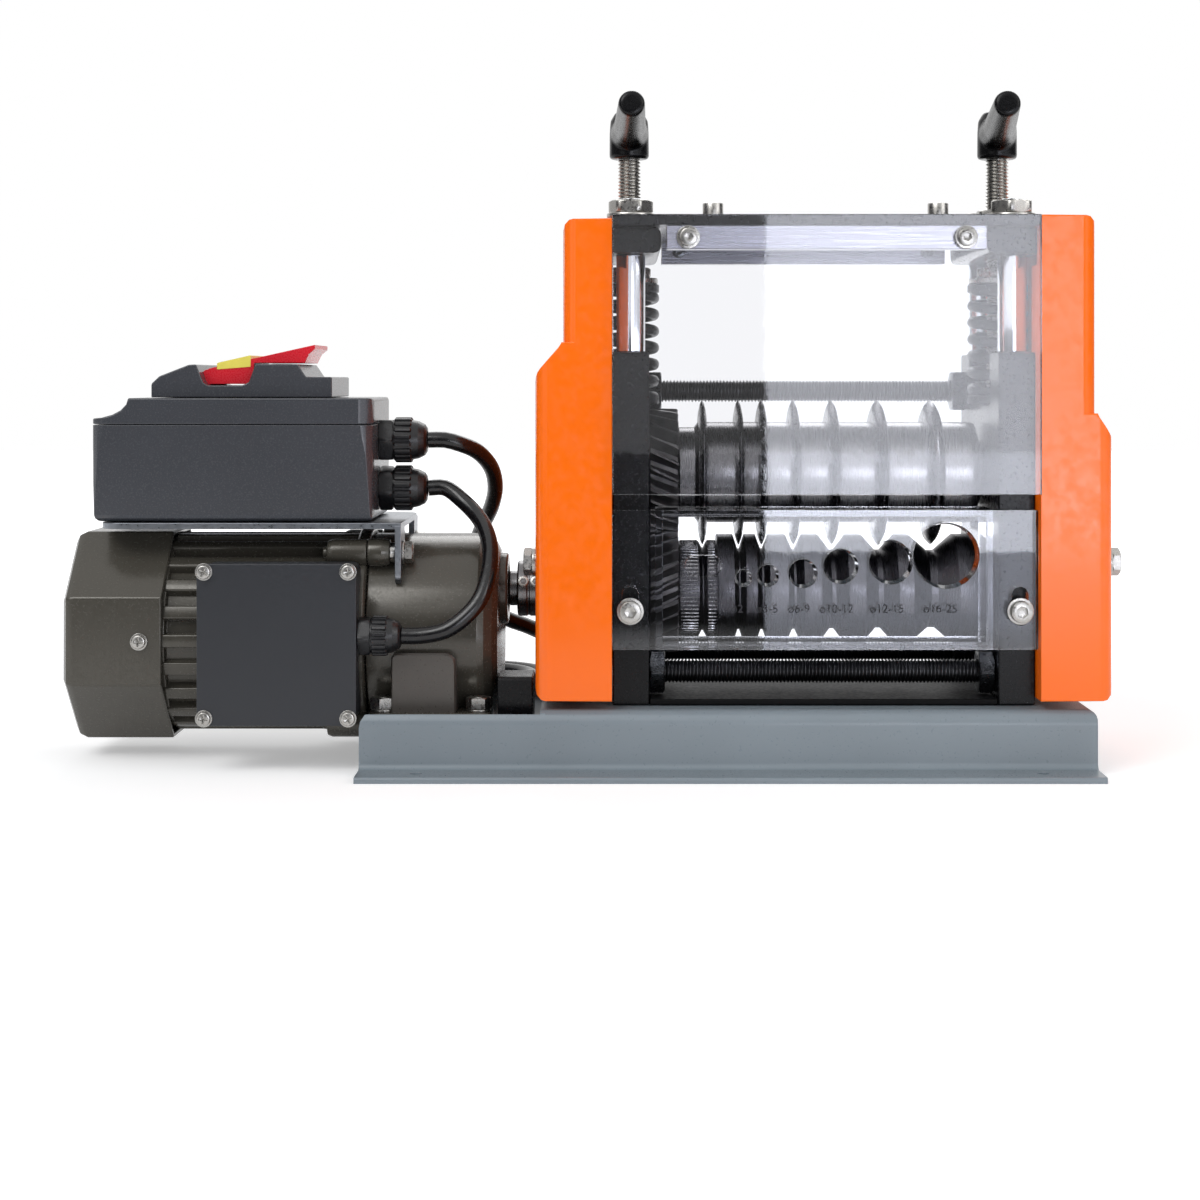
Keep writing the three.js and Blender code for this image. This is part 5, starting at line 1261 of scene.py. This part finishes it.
def round_outside(made, word):
    points = [vert.co for vert in made.data.vertices]
    near = 0.01 * MM
    front, rear = min(p.y for p in points), max(p.y for p in points)
    rim = max(p.x for p in points) if word == "left" else min(p.x for p in points)
    weights = made.data.attributes.new("bevel_weight_edge", "FLOAT", "EDGE")
    for edge in made.data.edges:
        a, b = (points[i] for i in edge.vertices)
        at_rim = abs(a.x - rim) < near and abs(b.x - rim) < near
        for plane in (front, rear):
            if abs(a.y - plane) < near and abs(b.y - plane) < near and not at_rim:
                weights.data[edge.index].value = 1
    outside = made.modifiers.new("outside", "BEVEL")
    outside.limit_method = "WEIGHT"
    outside.width = 1.9 * MM
    outside.segments = 4
    made.modifiers.move(len(made.modifiers) - 1, 0)


# %% The folded base, the frame plates and the covers
eased("folded_base", "base_pan", "frame", grey, "base_paint", 0.5)
# The floor plate's black carries painted shade as well as its own black paint.
eased("floor_plate", "frame_floor_plate", "frame", floor_black, "black_paint", 0.5)
eased("spacer_block", "deck_block", "frame", black, "black_paint", 0.5)
for word in ("left", "right"):
    plate = (f"black_side_plate_{word}", f"side_plate_{word}", "frame", black, "black_paint")
    eased(*plate, 0.6, without=lambda x, y, z: y < -50.6)
    eased(f"sliding_block_{word}", f"bearing_block_{word}", "carriage", black, "black_paint", 0.6)
    eased(f"black_top_bar_{word}", f"top_bar_{word}", "frame", black, "black_paint", 0.5)
    cover = (f"orange_cover_{word}", f"cover_{word}", "frame", orange, "orange_paint")
    round_outside(eased(*cover, 0.5, 50, 60, without=beyond_cover), word)
eased("black_top_plate", "top_plate", "frame", black, "black_paint", 0.5)
for word in ("front", "rear"):
    eased(f"brushed_bar_{word}", f"guard_bar_{word}", "frame", aluminium, "aluminium", 0.25)

# %% [markdown]
# The same is done for what stands round the motor. The fan cover's face has many slots and would fill
# badly as one polygon, so its flat triangles stay.

# %% Sheet and castings round the motor
eased("bent_bracket", "switch_bracket", "frame", zinc_sheet, "steel", 0.3)
eased("octagon_fan_cover", "fan_cover", "frame", bronze, "motor_paint", 0.7, 30, 34, merge=False)
eased("terminal_housing", "terminal_box", "frame", lid_paint, "terminal_paint", 0.6)
eased("cooling_fan", "fan_rotor", "fan", moulded, "black_plastic", 0.3)

# %% [markdown]
# ### The switch
# The switch's housing is one outline pushed across, with a slanted notch for the flap. The wells of its
# two buttons are cut out of it by a pair of cylinders.

# %% The switch box and the housing
eased("box_bottom", "switch_box", "frame", moulded, "black_plastic", 0.7)
eased("box_lid", "switch_lid", "frame", moulded, "black_plastic", 0.6)
outline = [(-281.7, 153.3), (-205.5, 153.3), (-205.5, 161.9, 0.8), (-216.4, 161.9, 1), (-220, 167.3, 1)]
outline += [(-237.8, 167.3, 1), (-240.6, 159.6, 1.5), (-243.6, 158.3, 1), (-258, 158.3, 1)]
outline += [(-259.8, 159.4, 1.5), (-262.8, 167.2, 1), (-266, 167, 2), (-278.3, 162.2, 2), (-281.7, 159, 2)]
bm = bmesh.new()
pushed(bm, "Y", rounded(outline, 0.5, 4, closed=True), -29, 29)
housing = piece("switch_housing", bm, "frame", moulded, "black_plastic", "switch_base", angle=30)

# %% The wells
BUTTON_X = -229.5
bm = bmesh.new()
for side in (-1, 1):
    well = [(0, 160.5), (5.75, 160.5), (5.75, 172), (0, 172)]
    turned(bm, "Z", (BUTTON_X, side * 9), well, 0, 48)
bmesh.ops.recalc_face_normals(bm, faces=bm.faces)
wells = add_object("wells", mesh_of(bm, "wells"))
carve = housing.modifiers.new("wells", "BOOLEAN")
carve.operation = "DIFFERENCE"
carve.solver = "EXACT"
carve.object = wells
carved = evaluated(housing, "carved")
housing.modifiers.remove(carve)
bpy.data.objects.remove(wells)
housing.data = carved
soften_edges(housing, 0.9, 30)

# %% The flap and the buttons
eased("red_flap", "switch_flap", "flap", red, "red_plastic", 0.5)
for word, paint, slot in (("start", green, "green_plastic"), ("stop", red, "red_plastic")):
    low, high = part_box(f"button_{word}")
    y = round((low[1] + high[1]) / 2 / MM, 2)
    foot, top = low[2] / MM, high[2] / MM
    cap = [(0, foot), (5.3, foot), (5.4, top - 0.8), (5, top - 0.1), (4.1, top), (0, top - 0.35)]
    bm = bmesh.new()
    turned(bm, "Z", (BUTTON_X, y), cap, 0.3, 48)
    piece(f"round_button_{word}", bm, word, paint, slot, f"button_{word}")
    print("button", word, "at Y", y)

# %% [markdown]
# ## The clear guards
# The upper guard is a plain polished sheet. The lower one is the feed guide: a plate with a row of round
# holes, one for each wire size, and a frame of walls behind it that keeps fingers from the rolls.

# %% The upper guard
eased("clear_upper_guard", "upper_guard", "frame", guard_acrylic, "acrylic", 0.25)


# %% [markdown]
# A plate with holes is filled once between its outlines and then pushed to its thickness.


# %% A plate with holes
def ring_points(x, z, radius):
    count = 72
    turns = [2 * math.pi * i / count for i in range(count)]
    return [(x + radius * math.cos(a), z + radius * math.sin(a)) for a in turns]


def slot_points(x, z, width, height):
    """A slot with round ends."""
    count = 48
    r = min(width, height) / 2
    points = []
    for i in range(count):
        a = 2 * math.pi * (i + 0.5) / count
        u, v = math.cos(a), math.sin(a)
        across = math.copysign(max(0, width / 2 - r), u)
        up = math.copysign(max(0, height / 2 - r), v)
        points.append((x + r * u + across, z + r * v + up))
    return points


def holed_plate(bm, loops, low, high):
    edges = []
    for loop in loops:
        row = [bm.verts.new(at(u, low, v)) for u, v in loop]
        edges += [bm.edges.new((row[i], row[(i + 1) % len(row)])) for i in range(len(row))]
    made = bmesh.ops.triangle_fill(bm, edges=edges, use_beauty=True, normal=(0, -1, 0))
    faces = [g for g in made["geom"] if isinstance(g, bmesh.types.BMFace)]
    grown_part = bmesh.ops.extrude_face_region(bm, geom=faces)
    moved = [g for g in grown_part["geom"] if isinstance(g, bmesh.types.BMVert)]
    bmesh.ops.translate(bm, verts=moved, vec=(0, (high - low) * MM, 0))


# %% [markdown]
# Six round holes stand in a row with a slot to their left. Two upright slots let the guide slide on its
# screws.

# %% The feed guide's plate
GUIDE_FRONT, GUIDE_BACK = -56.3, -50.3
SCREW_X = 79.8
hole_x = [-33.4, -23.5, -9.1, 6.4, 26.9, 49.6]
hole_z = [79.5, 80.5, 81.4, 84.3, 86, 88.7]
hole_size = [7, 9, 11.8, 14.3, 18, 27]
bm = bmesh.new()
sheet = rounded([(-87.2, 50.1), (87.2, 50.1), (87.2, 107.4), (-87.2, 107.4)], 0.8, 3, closed=True)
holes = [ring_points(x, z, size / 2) for x, z, size in zip(hole_x, hole_z, hole_size)]
holes.append(slot_points(-49.8, 84.4, 15, 8.6))
holes += [slot_points(side * SCREW_X, 67.95, 6.8, 15.9) for side in (-1, 1)]
holed_plate(bm, [sheet] + holes, GUIDE_FRONT, GUIDE_BACK)

# %% [markdown]
# Each round hole narrows towards the rolls, so that a wire finds its way in: the rear ring of every hole
# is drawn in by 0.9 mm.

# %% Tapered holes, the walls and the piece
TAPER = 1.8
for x, z, size in zip(hole_x, hole_z, hole_size):
    centre = at(x, GUIDE_BACK, z)
    for vert in bm.verts:
        out = vert.co - centre
        if abs(out.y) < 0.5 * MM and abs(out.length - size / 2 * MM) < 0.02 * MM:
            vert.co = centre + out * (1 - TAPER / size)
for x0, x1, z0, z1 in (
    (-69.4, -66.4, 50.1, 107.4),
    (66.4, 69.4, 50.1, 107.4),
    (-66.35, 66.35, 50.1, 53.1),
    (-66.35, 66.35, 104.4, 107.4),
):
    wall = [(x0, z0), (x1, z0), (x1, z1), (x0, z1)]
    pushed(bm, "Y", wall, -50.25, -31.3)
guide = piece("drilled_feed_guide", bm, "guide", acrylic, "acrylic", "feed_guide")
soften_edges(guide, 0.3)
print("the feed guide has", len(hole_x), "round holes and one flat one")

# %% [markdown]
# ### Size marks
# Each hole has its wire size engraved under it in millimetres. Text is made a mesh, turned upright and
# laid on the front of the plate as a very thin dark layer.

# %% The marks
marks = ["ø2", "ø3-5", "ø6-9", "ø10-12", "ø12-15", "ø16-25"]
mark_x = [-36.1, -23.9, -10.8, 4.6, 25.2, 47.1]
bm = bmesh.new()
for word, x in zip(marks, mark_x):
    text = bpy.data.curves.new("mark", "FONT")
    text.body = word
    text.size = 4.9 * MM
    text.extrude = 0.03 * MM
    text.align_x = "CENTER"
    holder = add_object("mark", text)
    mesh = evaluated(holder, "mark")
    bpy.data.objects.remove(holder)
    upright = Matrix.Translation(at(x, GUIDE_FRONT - 0.06, 65.4)) @ Matrix.Rotation(math.pi / 2, 4, "X")
    add_mesh(bm, mesh, upright)
piece("size_marks", bm, "guide", mark, "black_plastic")
print(len(marks), "size marks")

# %% [markdown]
# ## Fasteners
# One head of each kind is modelled at the origin and the set tree puts it on every place where the
# machine has one. A small turn from one to the next keeps the slots from lining up, as in real assembly.
# Three kinds of head do: a cap with a socket, a domed head with a cross, and a hexagon bolt. Some have a
# washer under them.


# %% Heads
def socket_cap(radius, height, key):
    def build(bm):
        head(bm, "Z", (0, 0), 0, height, radius, hexagon(key), height * 0.55, edge=0.4)

    return build


def washered_cap(radius, height, key, washer, thick):
    def build(bm):
        flat = [(0, 0), (washer, 0), (washer, thick), (radius * 0.8, thick), (0, thick)]
        turned(bm, "Z", (0, 0), flat, 0.2, 48)
        head(bm, "Z", (0, 0), thick, thick + height, radius, hexagon(key), height * 0.55, edge=0.5)

    return build


def cross_head(radius, height, washer):
    thick = 0.7

    def build(bm):
        flat = [(0, 0), (washer, 0), (washer, thick), (radius * 0.8, thick), (0, thick)]
        turned(bm, "Z", (0, 0), flat, 0.15, 40)
        recess = cross(radius * 0.6, 0.45)
        head(bm, "Z", (0, 0), thick, thick + height, radius, recess, height * 0.6, edge=0.7)

    return build


def hex_bolt(flats, height, washer, thick):
    top = thick + height

    def build(bm):
        flat = [(0, 0), (washer, 0), (washer, thick), (flats * 0.4, thick), (0, thick)]
        turned(bm, "Z", (0, 0), flat, 0.2, 48)
        nut(bm, "Z", (0, 0), flats, thick, top)
        end = [(0, top - 0.2), (flats * 0.28, top - 0.2), (flats * 0.28, top + 0.1), (0, top + 0.1)]
        turned(bm, "Z", (0, 0), end, 0.1, 32)

    return build


# %% One kind of screw on all its places
def fasteners(name, build, sets, paint=zinc, step=0.7):
    """Sets are (axis, points); all of them become one mesh that rides on the frame."""
    model = model_of("model", build)
    bm = bmesh.new()
    for axis, points in sets:
        set_on(bm, axis, points, model, paint, step)
    piece(name, bm, "frame", paint, "steel")
    print(name, sum(len(points) for axis, points in sets))


# %% [markdown]
# ### Where the screws are
# The rolls' frame is held together by socket caps: four on the top plate, two through the upper guard,
# two at the ends of the rear bar, and two on which the feed guide slides. Their shanks show in its slots.

# %% Socket caps
both = (-1, 1)
top_screws = [(side * 46, y, 228.15) for side in both for y in (-57, 57)]
fasteners("top_plate_screws", socket_cap(4.2, 4.7, 4.2), [("Z", top_screws)])
bar_screws = [(side * 56.3, -65.35, 218.5) for side in both]
fasteners("guard_screws", washered_cap(3.7, 2.6, 3.2, 4.7, 0.8), [("-Y", bar_screws)])
rear_ends = [(side * 57, 52.35, 219.4) for side in both]
fasteners("rear_bar_screws", socket_cap(3, 1.8, 2.4), [("-Y", rear_ends)], dark_nut)
slot_screws = [(side * SCREW_X, -56.65, 66) for side in both]
fasteners("guide_screws", washered_cap(4.5, 4.1, 4.2, 5.5, 0.8), [("-Y", slot_screws)])
bm = bmesh.new()
for side in both:
    turned(bm, "Y", (side * SCREW_X, 66), [(0, -57), (3, -57), (3, -49.5), (0, -49.5)], 0, 32)
piece("guide_screw_shanks", bm, "frame", zinc, "steel")

# %% [markdown]
# Hexagon bolts hold the side covers, the gearbox's foot and the switch's bracket. The thin lid of the
# terminal box and the fan cover have cross-slotted screws.

# %% Bolts and cross-slotted screws
cover_places = [("-X", [(-118.65, -48, 85.6)]), ("X", [(116.95, -48, 85.6)])]
fasteners("cover_bolts", hex_bolt(10, 3.6, 6, 1.5), cover_places)
feet = [(x, side * 42.5, 23.05) for x in (-142.6, -182.4) for side in both]
fasteners("foot_bolts", hex_bolt(9.4, 5, 4.9, 1), [("Z", feet)])
on_bracket = [(-175.45, side * 30, 88) for side in both]
fasteners("bracket_bolts", hex_bolt(8, 3.6, 5.2, 0.8), [("X", on_bracket)])
corners = [(x, -60.05, z) for x in (-253.6, -194.8) for z in (22.6, 82.4)]
fasteners("terminal_screws", cross_head(2.9, 1.5, 3.5), [("-Y", corners)], step=1.1)
fan_places = [("-Y", [(-283.6, -44.05, 52)]), ("Y", [(-283.6, 44.05, 52)])]
fasteners("fan_cover_screws", cross_head(2.9, 1.5, 3.6), fan_places)

# %% [markdown]
# Two nuts are sunk in the top plate. The press screws turn in them, and so press the carriage down.

# %% The nuts in which the press screws turn
for side, word in SIDES:
    bm = bmesh.new()
    nut(bm, "Z", (side * PRESS_X, 0), M10_FLATS, 228.2, 234.2, 5.25, 0, 0.5)
    piece(f"press_nut_{word}", bm, "frame", zinc, "steel")
print("the press nuts are", M10_FLATS, "mm across flats")

# %% [markdown]
# The emergency flap is red with a yellow insert across it. The insert rides on the flap.

# %% The yellow insert of the flap
insert = [(-255.6, 165.1, 0.4), (-241.3, 166.2, 0.3), (-241.1, 171.2, 0.3), (-255.6, 167.9, 0.9)]
bm = bmesh.new()
pushed(bm, "Y", rounded(insert, 0.3, 3, closed=True), -20.25, 20.25)
made = piece("flap_insert", bm, "flap", yellow, "red_plastic")
soften_edges(made, 0.3)

# %% [markdown]
# ## The knurl
# The narrow end of the grooved roll is knurled, so that it grips thin wire. Small ridges are copied round
# the roll by the ring tree, in two bands beside the first groove.


# %% Knurled bands
def ridge(length):
    def build(bm):
        outline = [(20.2, -0.62), (21.05, -0.12), (21.05, 0.12), (20.2, 0.62)]
        pushed(bm, "Z", rounded(outline, 0.1, 1, closed=True), 0, length, edge=0.3)

    return build


RIDGES = 72
bm = bmesh.new()
for start, length in ((-58.2, 7.8), (-46.5, 3.9)):
    ring_of(bm, "X", (start, 0, LOWER_Z), RIDGES, model_of("ridge", ridge(length)), zinc)
piece("knurled_bands", bm, "drive_roll", knurl_steel, "steel")
print("two knurled bands of", RIDGES, "ridges")

# %% [markdown]
# ## Light, floor and background
# The photograph is a bright packshot on white. A large soft lamp stands above left, a weaker one to the
# right and one behind. A small bluish lamp behind the camera is what the clear guard mirrors in its
# right half.

# %% The lamps
target = Vector((0, 0, 0.13))


def softbox(name, place, size, strength, aim=target):
    lamp = bpy.data.lights.new(name, "AREA")
    lamp.shape = "RECTANGLE"
    lamp.size, lamp.size_y = size
    lamp.energy = strength
    made = add_object(name, lamp)
    made.location = place
    made.rotation_euler = (Vector(aim) - Vector(place)).to_track_quat("-Z", "Y").to_euler()
    return lamp


softbox("key", (-1.0, -1.3, 1.6), (1.3, 1.0), 20)
softbox("fill", (1.5, -0.9, 0.9), (1.0, 1.0), 7)
softbox("rim", (0.3, 1.5, 1.3), (1.4, 0.8), 9)
mirrored_box = softbox("mirrored_box", (0.323, -1.2, 0.175), (0.35, 0.35), 1.75, (0.323, 0, 0.175))
mirrored_box.color = (0.9, 0.92, 1)

# %% [markdown]
# ### The world
# The camera sees plain white, also through the clear sheets, and the machine is lit by a weaker, soft
# white. Mirror rays get white that is darker to both sides and behind the camera, as black cards beside a
# set would make it, because chrome shows its shape only where it has something dark to mirror.


# %% What the rays see
def background(tree, colour, strength=1.0):
    inputs = {"Color": colour, "Strength": strength}
    return add_node(tree, "ShaderNodeBackground", inputs).outputs["Background"]


WHITE = (1, 1, 1, 1)
world = bpy.data.worlds.new("studio")
world.use_nodes = True
scene.world = world
tree = world.node_tree
tree.nodes.clear()
direction = add_node(tree, "ShaderNodeTexCoord").outputs["Generated"]
toward_x_y = add_node(tree, "ShaderNodeSeparateXYZ", {"Vector": direction}).outputs
sideways = math_node(tree, "ABSOLUTE", toward_x_y["X"])
cards = ramp(tree, sideways, (0.74, WHITE), (0.84, (0.12, 0.12, 0.13, 1)))
ahead = ranged(tree, toward_x_y["Y"], (-0.93, -0.86), (0.1, 1))
product = {"Factor": 1, "A": cards, "B": ahead}
shaded = add_node(tree, "ShaderNodeMix", product, data_type="RGBA", blend_type="MULTIPLY")
mirrored = background(tree, shaded.outputs["Result"])
soft = background(tree, (0.98, 0.99, 1, 1), 0.5)
rays = add_node(tree, "ShaderNodeLightPath").outputs
seen = math_node(tree, "MAXIMUM", rays["Is Camera Ray"], rays["Is Transmission Ray"])
lighting = either(tree, rays["Is Glossy Ray"], soft, mirrored)
surface = either(tree, seen, lighting, background(tree, WHITE))
add_node(tree, "ShaderNodeOutputWorld", {"Surface": surface})

# %% [markdown]
# ### The floor
# The floor is white paper. To the camera and in mirrors it glows a little, so that it reads as white
# where it is lit and keeps the soft grey shadow under the machine. The glow grows away from the machine.

# %% White paper
bm = bmesh.new()
reach = 4.0
corners = ((-reach, -reach, 0), (reach, -reach, 0), (reach, reach, 0), (-reach, reach, 0))
bm.faces.new([bm.verts.new(p) for p in corners])
floor = add_object("floor", mesh_of(bm, "floor"))
floor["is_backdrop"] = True
paper, tree, shader = new_material("white_paper")
rays = add_node(tree, "ShaderNodeLightPath").outputs
seen = math_node(tree, "MAXIMUM", rays["Is Camera Ray"], rays["Is Transmission Ray"])
seen = math_node(tree, "MAXIMUM", seen, rays["Is Glossy Ray"])
place = add_node(tree, "ShaderNodeTexCoord").outputs["Object"]
far = add_node(tree, "ShaderNodeVectorMath", {0: place}, operation="LENGTH").outputs["Value"]
glow = ranged(tree, far, (0.3, 1.2), (0.34, 0.75))
look = {
    "Base Color": (0.86, 0.86, 0.865, 1),
    "Roughness": 0.75,
    "Specular IOR Level": 0.2,
    "Emission Color": WHITE,
    "Emission Strength": math_node(tree, "MULTIPLY", seen, glow),
}
feed(tree, shader, look)

# %% [markdown]
# The clear sheets also mirror the floor in front of the machine. There the floor carries a painted
# reflection:
# a dark patch to the left and, to the right, a patch that glows brighter than white though no lamp is there,
# so that the haze on the guard goes on, along the same line, over the guide. Only mirror rays see them.

# %% The painted reflection that the guide mirrors
on_floor = add_node(tree, "ShaderNodeSeparateXYZ", {"Vector": place}).outputs
in_front = ranged(tree, on_floor["Y"], (-0.42, -0.6), (0, 1))
across = math_node(tree, "MULTIPLY_ADD", on_floor["Y"], 0.0664, on_floor["X"])
on_painted_glow = math_node(tree, "GREATER_THAN", across, 0.0684)
# Painted reflection: the floor glows for mirror rays only, dark to the left and brighter than white to the
# right.
painted_dark_patch, painted_glow_patch = (0.05, 0.05, 0.05, 1), (2.0, 2.08, 2.35, 1)
laid = add_node(tree, "ShaderNodeMix", {"Factor": on_painted_glow, "A": painted_dark_patch, "B": painted_glow_patch}, data_type="RGBA")
laid = add_node(tree, "ShaderNodeEmission", {"Color": laid.outputs["Result"]}).outputs["Emission"]
share = math_node(tree, "MULTIPLY", in_front, rays["Is Glossy Ray"])
surface = either(tree, share, shader.outputs["BSDF"], laid)
feed(tree, tree.nodes["Material Output"], {"Surface": surface})
floor.data.materials.append(paper)

# %% [markdown]
# ## Putting the tools away
# The models that the trees copied are removed, and the bounds of the dressed machine are measured. The
# dressed machine has to stay inside the box of the CAD model.

# %% Sizes and the end
for model in models:
    bpy.data.objects.remove(model)
low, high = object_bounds()
